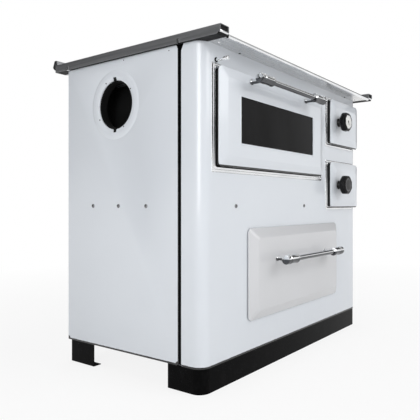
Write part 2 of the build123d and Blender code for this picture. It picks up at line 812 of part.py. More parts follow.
def bevel_share():
    """How far the hollow's rim lies behind the outer one, in sheets, to keep the bevel's wall even."""
    return (door_proud - door_stand_off - door_edge) / (door_bevel - door_sheet) + 0.1


def oven_door_skin():
    """The oven door's front, with its window and the notches for the hinge knuckles."""
    skin = pressed_front(oven_door_x, oven_door_z, -door_stand_off)
    skin -= front_slab(window_x, window_z, (-door_proud - over, 0))
    notch_y, notch_z = (-door_stand_off - door_edge, 0), (oven_door_z[0] - over, oven_hinge_rise)
    for side, x in zip((1, -1), oven_hinges_across):
        skin -= block(grown(oven_hinge_span(side, x), over), notch_y, notch_z)
    return skin


def small_door_skin(z):
    skin = pressed_front(small_door_x, z, -door_stand_off)
    return skin - rod_y(knob_across, (-door_proud - over, 0), sum(z) / 2, spindle_radius + over)


def ash_door_skin():
    """The ash door's front, with air inlets under its rim."""
    wide, deep = inlet
    back = -door_stand_off - inlet_set_back
    low = ash_door_z[0]
    skin = small_door_skin(ash_door_z)
    for x in centred(sum(small_door_x) / 2, inlet_count, inlet_pitch):
        skin -= block(about(x, wide), (back - deep, back), (low - over, low + door_sheet + over))
    return skin


def drawer_front():
    return pressed_front(drawer_front_x, drawer_front_z, -drawer_front_gap)


# ================================================================ doors
def bezel(x, z):
    """The chrome frame round an opening, its face sloping to the panel outside."""
    ring = front_slab(x, z, (-bezel_proud, 0))
    ring = chamfer(ring.edges().group_by(Axis.Y)[0], bezel_slope)
    return ring - front_slab(grown(x, -bezel_width), grown(z, -bezel_width), (-bezel_proud - over, over))


def door_box(x, z):
    """The black inner box of a door, behind its pressed front and through the bezel."""
    return front_slab(grown(x, -liner_margin), grown(z, -liner_margin), (-door_stand_off, -liner_reach))


def oven_door_trim():
    """The thin bright frame round the window."""
    lap = trim_width - trim_lap
    y = (-door_proud - trim_proud, -door_proud)
    return front_frame(grown(window_x, lap), grown(window_z, lap), y, trim_width)


def oven_door_glass():
    y = -door_proud + door_sheet
    return front_slab(grown(window_x, glass_lap), grown(window_z, glass_lap), (y, y + glass_thickness))


def oven_door_inner():
    """The door's back: a black steel box with its own window, slotted for the hinge lugs."""
    inner = door_box(oven_opening_x, oven_opening_z)
    inner -= front_slab(window_x, window_z, (-door_stand_off - over, 0))
    y, z = -oven_hinge_forward, oven_hinge_rise
    slot_y = (-door_stand_off - knuckle_radius, 0)
    slot_z = (z - oven_lug_slot[0], z + oven_lug_slot[1])
    for side, x in zip((1, -1), oven_hinges_across):
        span = oven_hinge_span(side, x)
        inner += rod_x(span, y, z, knuckle_radius)
        inner -= rod_x(grown(span, over), y, z, hinge_pin_radius + pin_play)
        inner -= block(about(x, oven_lug_width + 2 * slide_gap), slot_y, slot_z)
    return inner


def oven_hinge_span(side, x):
    """Across a lug's slot and the knuckle beside it, on the side of the door's middle."""
    edge = x - side * (oven_lug_width / 2 + slide_gap)
    end = x + side * (oven_lug_width / 2 + slide_gap + oven_knuckle_length)
    return tuple(sorted((edge, end)))


def oven_door_gasket():
    inset = liner_margin + gasket_inset[0]
    x, z = grown(oven_opening_x, -inset), grown(oven_opening_z, -inset)
    return front_frame(x, z, gasket_y(), gasket_width)


def small_door_gasket(opening_z):
    inset = liner_margin + gasket_inset[1]
    return front_frame(grown(small_opening_x, -inset), grown(opening_z, -inset), gasket_y(), gasket_width)


def gasket_y():
    """From the inner box to just short of what the seal presses on."""
    return (-liner_reach, panel_sheet - seat_gap)


def small_door_inner(z, opening_z):
    """The door's back: closing sheet with knuckles, inner box and heat shield, bored for the spindle."""
    inset = door_sheet + door_sheet_gap
    sheet_y = (-door_stand_off - door_sheet, -door_stand_off)
    inner = front_slab(grown(small_door_x, -inset), grown(z, -inset), sheet_y, door_corner_radius - inset)
    inner += door_box(small_opening_x, opening_z)
    shield = grown(small_opening_x, -shield_margin), grown(opening_z, -shield_margin)
    inner += front_slab(*shield, (-liner_reach, shield_reach))
    inner -= rod_y(knob_across, (-door_proud, shield_reach + over), sum(z) / 2, spindle_radius + pin_play)
    for low in door_knuckles(z):
        inner += door_knuckle((low, low + small_knuckle_length))
    return inner


def ash_door_inner():
    """The lower door's back, with the air slots that the rosette opens and shuts."""
    inner = small_door_inner(ash_door_z, ash_opening_z)
    for n in range(rosette_slot_count):
        angle = 360 / rosette_slot_count * (n + 0.5)
        inner -= air_slot(ash_knob_rise, angle, (-door_stand_off - door_sheet - over, shield_reach + over))
    return inner


# ================================================================ hinges
def oven_hinge(side, x):
    """A lug on the oven's front flange, with the pin that the door turns on, towards the door's middle."""
    y, z = -oven_hinge_forward, oven_hinge_rise
    arm_y = (y - oven_lug_height / 2, panel_sheet)
    arm = block(about(x, oven_lug_width), arm_y, about(z, oven_lug_height))
    pin_x = sorted((x, x + side * (oven_lug_width / 2 + slide_gap + oven_knuckle_length)))
    return arm + rod_x(pin_x, y, z, hinge_pin_radius)


def door_knuckles(z):
    """Lower ends of a small door's two knuckles."""
    return z[0] + small_hinge_lift, z[1] - small_hinge_lift - small_knuckle_length


def door_knuckle(span):
    """A knuckle on a small door's closing sheet, bored for the pin."""
    x, y = small_hinge_across, -small_hinge_forward
    knuckle = rod_z(x, y, span, knuckle_radius)
    knuckle += block(about(x, 2 * knuckle_radius), (-door_stand_off, y), span)
    return knuckle - rod_z(x, y, grown(span, over), hinge_pin_radius + pin_play)


def small_hinges(z):
    """Knuckles below the door's own, on leaves that are screwed to the front panel, with their pins."""
    x, y = small_hinge_across, -small_hinge_forward
    hinges = []
    for low in door_knuckles(z):
        span = (low - seat_gap - small_knuckle_length, low - seat_gap)
        leaf = block((small_bezel_x[1] + slide_gap, x), (-hinge_leaf, 0), span)
        arm = block(about(x, hinge_arm), (y, 0), span)
        pin = rod_z(x, y, (span[0], low + small_knuckle_length - over), hinge_pin_radius)
        hinges.append(leaf + arm + rod_z(x, y, span, knuckle_radius) + pin)
    return hinges


# ================================================================ handles and knobs
def handle(centre, z):
    """The bar between its two ferrules, each with the post that stands it off the front."""
    y = -door_proud - handle_stand_off
    ends = about(centre, handle_length)
    posts = grown(ends, -handle_post_inset)
    bar_x = grown(ends, -ferrule_length)
    pieces = [rod_x(bar_x, y, z, handle_bar_radius)]
    for tip, root, post_x in zip(ends, bar_x, posts):
        ferrule = rod_x(sorted((tip, root)), y, z, ferrule_radius)
        rims = ferrule.edges().filter_by(GeomType.CIRCLE).sort_by_distance((tip, y, z))
        ferrule = chamfer(rims[0], ferrule_chamfer)
        pieces.append(ferrule + rod_y(post_x, (y, -door_proud), z, handle_post_radius))
    return pieces


def knob(z):
    """A faceted knob on a flared neck, with a recess in its face."""
    outline = Pos(knob_across, z) * Rot(0, 0, 180 / knob_sides) * RegularPolygon(knob_radius, knob_sides)
    head = extrude(front_plane(knob_face) * outline, -knob_head_length)
    ends = head.edges().group_by(Axis.Y)
    head = chamfer(ends[0] + ends[-1], knob_edge)
    length = knob_neck_length - seat_gap
    neck_axis = front_plane(-door_proud - seat_gap) * Pos(knob_across, z)
    neck = neck_axis * Pos(0, 0, length / 2) * Cone(*knob_neck, length)
    recess = rod_y(knob_across, (knob_face - over, knob_face + dial_recess), z, dial_radius)
    return head + neck - recess


def dial(z):
    """The plain white dial, with its pointer."""
    y = knob_face + dial_recess
    long, wide, proud = pointer
    disc = rod_y(knob_across, (y - dial_thickness, y), z, dial_radius - dial_ring_width - 2 * seat_gap)
    hand = Pos(knob_across, z) * Rot(0, 0, pointer_turn) * Pos(pointer_shift, 0) * Rectangle(long, wide)
    return disc + extrude(front_plane(y - dial_thickness) * hand, proud)


def dial_ring(z):
    """The bright ring in the knob's recess, round its dial."""
    y = knob_face + dial_recess
    outer = dial_radius - seat_gap
    ring = rod_y(knob_across, (y - dial_ring_rise, y), z, outer)
    return ring - rod_y(knob_across, (y - dial_ring_rise - over, y + over), z, outer - dial_ring_width)


def knob_cap(z):
    """The lower knob's plain cap."""
    y = knob_face + dial_recess
    return rod_y(knob_across, (y - cap_thickness, y), z, dial_radius - seat_gap)


def spindle(z):
    """A knob's spindle, from the foot of its neck to behind the door."""
    return rod_y(knob_across, (-door_proud - seat_gap, spindle_back), z, spindle_radius)


def latch(z):
    """The upper knob's spindle and the tongue behind the door; hanging down, it lets the door open."""
    tongue_x = about(knob_across, latch_width)
    tongue_z = (z - latch_reach, z + latch_width / 2 + over)
    tongue_y = (spindle_back - latch_thickness, spindle_back)
    return spindle(z) + front_slab(tongue_x, tongue_z, tongue_y)


def rosette(z):
    """The lower knob's spindle and the air disc behind the door's slots."""
    y = (shield_reach + slide_gap, shield_reach + slide_gap + rosette_thickness)
    disc = rod_y(knob_across, y, z, rosette_radius)
    for n in range(rosette_slot_count):
        disc -= air_slot(z, 360 / rosette_slot_count * n, grown(y, over))
    return spindle(z) + disc


def air_slot(z, turn, y):
    """One wedge-shaped opening of the air rosette, between two radii."""
    near, far = rosette_slot
    corners = [
        Vector(near, 0).rotate(Axis.Z, -rosette_slot_angle / 2),
        Vector(far, 0).rotate(Axis.Z, -rosette_slot_angle / 2),
        Vector(far, 0).rotate(Axis.Z, rosette_slot_angle / 2),
        Vector(near, 0).rotate(Axis.Z, rosette_slot_angle / 2),
    ]
    sketch = Pos(knob_across, z) * Rot(0, 0, turn) * make_face(Polyline(*corners, close=True))
    return extrude(front_plane(y[1]) * sketch, y[1] - y[0])


# ================================================================ oven
def oven_box():
    """The baking chamber with its front flange and the pressed ribs of its walls."""
    back = oven_cavity_depth + inner_sheet
    box = block(grown(oven_cavity_x, inner_sheet), (panel_sheet, back), grown(oven_cavity_z, inner_sheet))
    flange_x, flange_z = grown(oven_opening_x, oven_flange), grown(oven_opening_z, oven_flange)
    box += block(flange_x, (panel_sheet, panel_sheet + inner_sheet), flange_z)
    box -= block(oven_cavity_x, (panel_sheet - over, oven_cavity_depth), oven_cavity_z)
    return box + shelf_ribs()


def shelf_ribs():
    """Three pairs of ribs that the rack and the tray slide on."""
    out, tall = shelf_rib
    y = (shelf_rib_ends[0], oven_cavity_depth - shelf_rib_ends[1])
    left, right = oven_cavity_x
    ribs = []
    for level in shelf_levels:
        z = (oven_cavity_z[0] + level, oven_cavity_z[0] + level + tall)
        ribs += [block((left, left + out), y, z), block((right - out, right), y, z)]
    return ribs


def shelf_top(level):
    return oven_cavity_z[0] + shelf_levels[level] + shelf_rib[1]


def oven_rack():
    """The rack: a frame and bars, welded where they cross."""
    x, y = grown(oven_cavity_x, -rack_side_gap), (shelf_front, oven_cavity_depth - shelf_back_gap)
    low = shelf_top(1) + seat_gap
    z = (low, low + rack_bar)
    rack = frame_block(x, y, z, rack_bar)
    for middle in spaced(grown(x, -rack_bar / 2), rack_bar_count + 2)[1:-1]:
        rack += block(about(middle, rack_bar), grown(y, -rack_bar / 2), z)
    return rack


def baking_tray():
    """A shallow tray with a flat rim that rides on the lowest ribs."""
    low = shelf_top(0) + seat_gap
    top = low + tray_sheet
    rim_x, rim_y = grown(oven_cavity_x, -tray_side_gap), (shelf_front, oven_cavity_depth - shelf_back_gap)
    pan_x, pan_y = grown(rim_x, -tray_rim[0]), grown(rim_y, -tray_rim[1])
    tray = block(rim_x, rim_y, (low, top)) + block(pan_x, pan_y, (low - tray_depth, top))
    inner_z = (low - tray_depth + tray_sheet, top + over)
    return tray - block(grown(pan_x, -tray_sheet), grown(pan_y, -tray_sheet), inner_z)


def oven_stand():
    """Two bent channels that carry the oven on the deck."""
    z = (deck_rise + inner_sheet, oven_cavity_z[0] - inner_sheet)
    left = oven_cavity_x[0] + stand_inset
    right = oven_cavity_x[1] - stand_inset - stand_width
    stands = []
    for x in (left, right):
        hollow_x = (x + inner_sheet, x + stand_width + over)
        hollow = block(hollow_x, grown(stand_y, over), grown(z, -inner_sheet))
        stands.append(block((x, x + stand_width), stand_y, z) - hollow)
    return stands


# ================================================================ firebox, ash chamber and smoke way
def casing_inside():
    """Across and along the inside of the firebox."""
    return grown(casing_x, -casing_sheet), (panel_sheet + casing_sheet, casing_back - casing_sheet)


def firebox_casing():
    """The steel box for fire and ash: open in front and above, with the smoke way over the oven."""
    z = (deck_rise + inner_sheet, casing_top)
    x, y = casing_inside()
    casing = block(casing_x, (panel_sheet, casing_back), z)
    casing -= block(x, y, (ash_floor_rise + casing_sheet, z[1] + over))
    casing -= block(x, y, (z[0] - over, ash_floor_rise))
    casing -= block(small_opening_x, (0, y[0] + over), fire_opening_z)
    casing -= block(small_opening_x, (0, y[0] + over), ash_opening_z)
    slot_x = (casing_x[0] - over, x[0] + over)
    casing -= block(slot_x, smoke_slot_y, (oven_opening_z[1] + oven_flange + inner_sheet, z[1] + over))
    ledge_z = (grate_rise - casing_sheet, grate_rise)
    hole_x, hole_y = grate_hole()
    return casing + (block(x, y, ledge_z) - block(hole_x, hole_y, grown(ledge_z, over)))


def grate_hole():
    return grown(casing_x, -grate_hole_margin), (grate_hole_margin, casing_back - grate_hole_margin)


def firebricks():
    """Left, right and back bricks, standing on the ledge round the grate."""
    inner_x, inner_y = casing_inside()
    x = grown(inner_x, -seat_gap)
    y = (inner_y[0] + brick_front_gap, inner_y[1] - seat_gap)
    z = (grate_rise, brick_top)
    left = block((x[0], x[0] + brick_thickness), y, z)
    right = block((x[1] - brick_thickness, x[1]), y, z)
    back = block(grown(x, -brick_thickness - seat_gap), (y[1] - brick_thickness, y[1]), z)
    return [chamfer(brick.edges(), brick_edge) for brick in (left, right, back)]


def fire_grate():
    """The cast grate, with long slots for the ash."""
    hole_x, hole_y = grate_hole()
    z = (grate_rise, grate_rise + grate_thickness)
    plate = block(grown(hole_x, grate_lap), grown(hole_y, grate_lap), z)
    pitch = (hole_x[1] - hole_x[0]) / grate_slot_count
    for middle in centred(sum(hole_x) / 2, grate_slot_count, pitch):
        plate -= block(about(middle, pitch * grate_slot_share), hole_y, grown(z, over))
    return plate


def ash_pan():
    """The sheet box under the grate, with its pull loop."""
    x, y = grown(small_opening_x, -ash_pan_inset), (ash_pan_front, casing_back - ash_pan_inset)
    low = ash_floor_rise + casing_sheet + seat_gap
    z = (low, ash_opening_z[1] - ash_pan_drop)
    pan = block(x, y, z)
    pan -= block(grown(x, -ash_pan_wall), grown(y, -ash_pan_wall), (low + ash_pan_wall, z[1] + over))
    return pan + pull_loop(sum(x) / 2, y[0], z[1] - pan_loop_drop)


def pull_loop(middle, y, top):
    """A flat strap bent into a loop on the pan's front."""
    wide, tall, out = pan_loop
    x, z = about(middle, wide), (top - tall, top)
    strap = block(x, (y - out, y), z)
    return strap - block(grown(x, -pan_loop_bar), (y - out + pan_loop_bar, y), grown(z, over))


def smoke_box():
    """The flue box between the oven and the left side, open above for the smoke from the oven's top."""
    x, y, z = smoke_box_x, smoke_box_y, smoke_box_z
    box = block(x, y, z) - block(grown(x, -inner_sheet), grown(y, -inner_sheet), grown(z, -inner_sheet))
    wall_x = (x[0] - over, x[0] + inner_sheet + over)
    box -= rod_x(wall_x, flue_back, flue_rise, collar_bore_radius + collar_wall)
    side, end = smoke_box_rim
    mouth_z = (z[1] - inner_sheet - over, z[1] + over)
    return box - block(grown(x, -side), grown(damper_plate_y, -end), mouth_z)


def flue_collar():
    """The spigot for the flue pipe, with the flange that seats it on the smoke box."""
    start, end = panel_sheet + flue_press_depth + seat_gap, smoke_box_x[0]
    tube = rod_x((start, end), flue_back, flue_rise, collar_bore_radius + collar_wall)
    tube += rod_x((end - collar_wall, end), flue_back, flue_rise, collar_bore_radius + collar_flange)
    return tube - rod_x((start - over, end + over), flue_back, flue_rise, collar_bore_radius)


# ================================================================ drawer and damper
def drawer_box():
    """The fuel drawer's body; its front wall fills the pressed front and carries the handle."""
    x, z = drawer_box_x, drawer_box_z
    front = -drawer_front_gap
    box = block(x, (front, drawer_box_depth), z)
    inner_y = (front, drawer_box_depth - drawer_sheet)
    box -= block(grown(x, -drawer_sheet), inner_y, (z[0] + drawer_sheet, z[1] + over))
    inset = door_sheet + door_sheet_gap
    wall = grown(drawer_front_x, -inset), grown(drawer_front_z, -inset)
    box += front_slab(*wall, (front - drawer_sheet, front), door_corner_radius - inset)
    box += drawer_flange_strip((x[0] - drawer_flange, x[0]))
    return box + drawer_flange_strip((x[1], x[1] + drawer_flange))


def drawer_flange_strip(x):
    """A flange along the box's side, which slides on the runner."""
    low = drawer_box_z[0] + drawer_flange_lift
    return block(x, (drawer_flange_front, drawer_box_depth), (low, low + drawer_sheet))


def drawer_runner():
    """The left rail that the drawer's flange slides on, from the front panel to the back."""
    top = drawer_box_z[0] + drawer_flange_lift - seat_gap
    x = (drawer_box_x[0] - drawer_flange - drawer_runner_gap(), drawer_box_x[0] - slide_gap)
    y = (panel_sheet, inner_back())
    upright = block((x[0], x[0] + inner_sheet), y, (top - runner_height, top + runner_height))
    return upright + block(x, y, (top - inner_sheet, top))


def drawer_runner_gap():
    """Beside the flange, so that the runner's upright starts clear of the opening's edge."""
    return drawer_box_x[0] - drawer_opening_x[0]


def damper_rod():
    """The pull rod with its grip."""
    radius, length = damper_grip
    rod = rod_y(damper_across, (-damper_reach, damper_plate_y[1]), damper_rise, damper_rod_radius)
    return rod + rod_y(damper_across, (-damper_reach, -damper_reach + length), damper_rise, radius)


def damper_slide():
    """The plate that closes the smoke box, hung under the rod."""
    width, _, thick = damper_plate
    z = smoke_box_z[1] + seat_gap
    plate = block(about(sum(smoke_box_x) / 2, width), damper_plate_y, (z, z + thick))
    post_end = damper_plate_y[1] - damper_post_inset
    post_y = (post_end - damper_post[1], post_end)
    post = block(about(damper_across, damper_post[0]), post_y, (z, damper_rise))
    return plate + post - rod_y(damper_across, grown(damper_plate_y, over), damper_rise, damper_rod_radius)


def damper_guide():
    """The bush that the rod runs in, seated in the front panel."""
    y = (-damper_bush_proud, damper_bush_length)
    bush = rod_y(damper_across, y, damper_rise, damper_rod_radius + damper_bush_wall)
    return bush - rod_y(damper_across, grown(y, over), damper_rise, damper_rod_radius + pin_play)


# ================================================================ fasteners
def screw_front(x, z):
    """A pan head on the front panel, over the deck's rim."""
    return rod_y(x, (-screw_head_rise, 0), z, screw_head_radius)


def screw_side(y, z):
    """A pan head on the left panel, over the deck's rim."""
    return rod_x((-screw_head_rise, 0), y, z, screw_head_radius)


# ================================================================ the whole stove
origin_shift = Pos(-body_width / 2, (handle_front - rear_upstand().bounding_box().max.Y) / 2, 0)


def build_body():
    write("plinth", plinth())
    write("rear_feet", rear_foot(), mirrored(rear_foot()))
    write("base_pan", base_pan())
    write("deck", deck())
    write("corner_posts", corner_post(), mirrored(corner_post()))
    write("front_panel", front_panel())
    write("side_panel_left", side_panel_left())
    write("side_panel_right", mirrored(side_panel()))
    write("back_panel", back_panel())
    front_screws = [screw_front(x, panel_screw_rise) for x in front_screws_across]
    left_screws = [screw_side(y, panel_screw_rise) for y in side_screws_back()]
    write("panel_screws", *front_screws, *left_screws, *[mirrored(screw) for screw in left_screws])


def build_top():
    write("side_rail_left", side_rail())
    write("side_rail_right", mirrored(side_rail()))
    write("rail_cores", rail_core(), mirrored(rail_core()))
    write("rail_caps", rail_cap(), mirrored(rail_cap()))
    write("guard_rod", guard_rod())
    write("top_frame", top_frame())
    write("hotplate", hotplate())
    write("rear_upstand", rear_upstand())
    write("ring_outer", ring_blank(ring_radii[0]) - ring_hole(ring_radii[1]))
    write("ring_inner", ring_blank(ring_radii[1]) - ring_hole(ring_radii[2]))
    write("centre_lid", lid())


def build_oven_door():
    write("oven_bezel", bezel(oven_bezel_x, oven_bezel_z))
    write("oven_door_skin", oven_door_skin())
    write("oven_door_trim", oven_door_trim())
    write("oven_door_glass", oven_door_glass())
    write("oven_door_inner", oven_door_inner())
    write("oven_door_gasket", oven_door_gasket())
    write("oven_handle", *handle(sum(oven_door_x) / 2, oven_door_z[1] - oven_handle_drop))
    oven_hinges = [oven_hinge(side, x) for side, x in zip((1, -1), oven_hinges_across)]
    write("hinges", *oven_hinges, *small_hinges(fire_door_z), *small_hinges(ash_door_z))


def build_fire_door():
    write("fire_bezel", bezel(small_bezel_x, fire_bezel_z))
    write("fire_door_skin", small_door_skin(fire_door_z))
    write("fire_door_inner", small_door_inner(fire_door_z, fire_opening_z))
    write("fire_door_gasket", small_door_gasket(fire_opening_z))
    write("fire_knob", knob(fire_knob_rise))
    write("fire_dial", dial(fire_knob_rise), dial_ring(fire_knob_rise))
    write("fire_latch", latch(fire_knob_rise))


def build_ash_door():
    write("ash_bezel", bezel(small_bezel_x, ash_bezel_z))
    write("ash_door_skin", ash_door_skin())
    write("ash_door_inner", ash_door_inner())
    write("ash_door_gasket", small_door_gasket(ash_opening_z))
    write("ash_knob", knob(ash_knob_rise))
    write("ash_knob_cap", knob_cap(ash_knob_rise))
    write("air_rosette", rosette(ash_knob_rise))


def build_inside():
    write("oven_box", oven_box())
    write("oven_rack", oven_rack())
    write("baking_tray", baking_tray())
    write("oven_stand", *oven_stand())
    write("firebox_casing", firebox_casing())
    write("firebricks", *firebricks())
    write("fire_grate", fire_grate())
    write("ash_pan", ash_pan())
    write("smoke_box", smoke_box())
    write("flue_collar", flue_collar())


def build_drawer_and_damper():
    write("drawer_front", drawer_front())
    write("drawer_box", drawer_box())
    write("drawer_handle", *handle(sum(drawer_front_x) / 2, drawer_front_z[1] - drawer_handle_drop))
    write("drawer_runners", drawer_runner(), mirrored(drawer_runner()))
    write("damper_rod", damper_rod())
    write("damper_slide", damper_slide())
    write("damper_guide", damper_guide())


os.makedirs("parts", exist_ok=True)
build_body()
build_top()
build_oven_door()
build_fire_door()
build_ash_door()
build_inside()
build_drawer_and_damper()
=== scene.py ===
"""Dresses the enamelled wood cookstove: finishes, pressed fronts, handles, knobs, screws and seals."""

import json
import math

import bmesh
import bpy
from mathutils import Matrix, Vector

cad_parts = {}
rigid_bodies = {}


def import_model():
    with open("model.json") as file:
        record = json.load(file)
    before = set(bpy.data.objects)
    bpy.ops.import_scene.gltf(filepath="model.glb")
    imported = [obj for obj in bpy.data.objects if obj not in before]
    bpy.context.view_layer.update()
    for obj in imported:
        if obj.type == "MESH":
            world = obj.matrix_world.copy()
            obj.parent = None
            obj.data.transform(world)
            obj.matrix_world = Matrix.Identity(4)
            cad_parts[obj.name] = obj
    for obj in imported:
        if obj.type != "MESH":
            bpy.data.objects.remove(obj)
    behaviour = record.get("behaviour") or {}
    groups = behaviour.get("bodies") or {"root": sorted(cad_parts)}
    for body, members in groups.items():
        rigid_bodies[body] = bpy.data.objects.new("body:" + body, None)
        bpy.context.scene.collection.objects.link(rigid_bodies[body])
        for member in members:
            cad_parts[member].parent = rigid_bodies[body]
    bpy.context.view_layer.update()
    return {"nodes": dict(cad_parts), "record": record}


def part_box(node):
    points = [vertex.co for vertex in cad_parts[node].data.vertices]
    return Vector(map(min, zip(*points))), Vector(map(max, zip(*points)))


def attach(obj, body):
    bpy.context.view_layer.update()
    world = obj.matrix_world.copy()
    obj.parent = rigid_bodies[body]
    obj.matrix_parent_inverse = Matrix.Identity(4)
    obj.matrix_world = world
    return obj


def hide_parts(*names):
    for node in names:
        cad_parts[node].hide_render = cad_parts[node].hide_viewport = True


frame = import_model()
nodes = frame["nodes"]
bodies = frame["record"]["behaviour"]["bodies"]
body_of_node = {name: body for body, names in bodies.items() for name in names}
slot_of_node = {part["node"]: part["material_slot"] for part in frame["record"]["subparts"]}

# Pieces are drawn in millimetres from the body's front left corner at floor level.
MM = 0.001
panel_low, panel_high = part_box("front_panel")
CORNER = Vector((panel_low.x, panel_low.y, 0.0))


def at(x, y, z):
    """A point given in millimetres from the body's front left corner, in the shared frame."""
    return CORNER + Vector((x, y, z)) * MM


def spans(node):
    """How far a CAD node reaches along x, y and z."""
    low, high = ((corner - CORNER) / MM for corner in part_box(node))
    return (low.x, high.x), (low.y, high.y), (low.z, high.z)


def grown(span, amount):
    return (span[0] - amount, span[1] + amount)


def middle(span):
    return (span[0] + span[1]) / 2


# ======== shader maths


class Sig:
    """A number socket that adds, multiplies and compares by adding Math nodes."""

    def __init__(self, paint, socket):
        self.paint = paint
        self.socket = socket

    def _op(self, operation, *others, clamp=False):
        values = [self.socket] + [o.socket if isinstance(o, Sig) else o for o in others]
        settings = {"operation": operation, "use_clamp": clamp}
        return Sig(self.paint, self.paint.node("ShaderNodeMath", settings, values).outputs[0])

    def __add__(self, other):
        return self._op("ADD", other)

    __radd__ = __add__

    def __mul__(self, other):
        return self._op("MULTIPLY", other)

    __rmul__ = __mul__

    def __sub__(self, other):
        return self._op("SUBTRACT", other)

    def __rsub__(self, other):
        made = self.paint.node("ShaderNodeMath", {"operation": "SUBTRACT"}, [other, self.socket])
        return Sig(self.paint, made.outputs[0])

    def __pow__(self, other):
        return self._op("POWER", other)

    def __lt__(self, other):
        return self._op("LESS_THAN", other)

    def above(self, low):
        return low - self < 0.0

    def larger(self, other):
        return self._op("MAXIMUM", other)

    def sine(self):
        return self._op("SINE")

    def clamped(self):
        return self._op("ADD", 0.0, clamp=True)

    def between(self, low, high):
        """0 at low, 1 at high, straight in between."""
        return ((self - low) * (1.0 / (high - low))).clamped()


class Paint:
    """Adds nodes to a tree."""

    def __init__(self, tree):
        self.tree = tree
        self._coords = None

    def node(self, kind, settings=None, values=(), **named):
        """Adds a node: its settings first, then what its sockets are fed, by place and by name."""
        made = self.tree.nodes.new(kind)
        for key, value in (settings or {}).items():
            setattr(made, key, value)
        by_name = [(key.replace("_", " "), value) for key, value in named.items()]
        for key, value in list(enumerate(values)) + by_name:
            self.feed(made.inputs[key], value)
        return made

    def feed(self, socket, value):
        if isinstance(value, Sig):
            value = value.socket
        if isinstance(value, bpy.types.NodeSocket):
            self.tree.links.new(value, socket)
        else:
            socket.default_value = value

    def coords(self, scale=(1.0, 1.0, 1.0)):
        if self._coords is None:
            self._coords = self.node("ShaderNodeTexCoord").outputs["Object"]
        if scale == (1.0, 1.0, 1.0):
            return self._coords
        return self.node("ShaderNodeMapping", Vector=self._coords, Scale=scale).outputs[0]

    def axes(self, vector=None):
        split = self.node("ShaderNodeSeparateXYZ", None, [vector or self.coords()])
        return [Sig(self, socket) for socket in split.outputs]

    def noise(self, scale, detail=2.0, roughness=0.5, stretch=(1.0, 1.0, 1.0)):
        where = self.coords(stretch)
        made = self.node("ShaderNodeTexNoise", Vector=where, Scale=scale, Detail=detail, Roughness=roughness)
        return Sig(self, made.outputs[0])

    def cells(self, scale, output="Distance"):
        made = self.node("ShaderNodeTexVoronoi", Vector=self.coords(), Scale=scale)
        return Sig(self, made.outputs[output])

    def light_path(self, *rays):
        """1 for these kinds of ray, 0 for the rest."""
        path = self.node("ShaderNodeLightPath")
        kinds = [Sig(self, path.outputs["Is " + ray + " Ray"]) for ray in rays]
        return sum(kinds[1:], kinds[0]).clamped()

    def mix(self, factor, first, second):
        """A colour from first to second."""
        made = self.node("ShaderNodeMix", {"data_type": "RGBA"})
        for place, value in ((0, factor), (6, first), (7, second)):
            self.feed(made.inputs[place], value)
        return made.outputs[2]

    def bump(self, height, distance, strength=1.0, under=None):
        made = self.node("ShaderNodeBump", Height=height, Distance=distance, Strength=strength)
        if under is not None:
            self.feed(made.inputs["Normal"], under)
        return made.outputs[0]


class Finish(Paint):
    """One material under construction."""

    def __init__(self, name):
        self.material = bpy.data.materials.new(name)
        self.material.use_nodes = True
        super().__init__(self.material.node_tree)
        self.tree.nodes.clear()
        self.output = self.node("ShaderNodeOutputMaterial")
        self.shader = self.node("ShaderNodeBsdfPrincipled")
        self.feed(self.output.inputs["Surface"], self.shader.outputs[0])

    def done(self, colour, roughness, normal=None, **more):
        sockets = {"Base_Color": colour, "Roughness": roughness, "Normal": normal, **more}
        for key, value in sockets.items():
            if value is not None:
                self.feed(self.shader.inputs[key.replace("_", " ")], value)
        return self.material


def rgb(red, green, blue):
    return (red, green, blue, 1.0)


# ======== finishes

# How wide the painted shade reaches, in metres: along the body's lower edge, round the sides' lower corners,
# along the seam, and, as a painted shadow gap, along each door's lower edge.
LOW_EDGE, LOW_CORNER, SEAM_EDGE, DOOR_EDGE = 0.0055, 0.0115, 0.0026, 0.0042
RAGGED, FADE, MARGIN = 0.0014, (-0.0004, 0.0002), 0.001
# The black of the painted edge shade.
EDGE_SHADE_BLACK = rgb(0.006, 0.006, 0.0065)
side_ends = [corner.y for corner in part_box("side_panel_left")]
DOORS = ("oven", "fire", "ash")
# Each handle's box, and how far above its middle the painted dark reflection on its underside ends.
handles = [(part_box("oven_handle"), 0.0), (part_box("drawer_handle"), 0.002)]
# The colour of that painted dark reflection under the bars.
UNDERSIDE_REFLECTION_DARK = rgb(0.1, 0.102, 0.108)


def panel_edge_shade(f):
    """1 where painted shade turns the body's panels black: under the lower edge, round the lower corners and
    along the seam.
    """
    _, along, rise = f.axes()
    ragged = RAGGED * f.noise(90.0, 2.0)
    seam = (side_ends[0] + SEAM_EDGE - along).between(*FADE) * along.above(side_ends[0] - MARGIN)
    shaded = (panel_low.z + LOW_EDGE - rise - ragged).between(*FADE).larger(seam)
    for end in side_ends:
        reach = ((along - end) ** 2.0 + (rise - panel_low.z) ** 2.0) ** 0.5
        shaded = shaded.larger((LOW_CORNER - reach - ragged).between(*FADE))
    return shaded


def door_shadow_gap(f):
    """1 where a painted shadow gap turns each door's lower edge black."""
    across, _, rise = f.axes()
    bands = []
    for low, high in (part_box(door + "_door_skin") for door in DOORS):
        beside = across.above(low.x - MARGIN) * (across < high.x + MARGIN)
        band = (low.z + DOOR_EDGE - rise).between(-0.0002, 0.0002) * rise.above(low.z - MARGIN)
        bands.append(beside * band)
    return bands[0].larger(bands[1]).larger(bands[2])


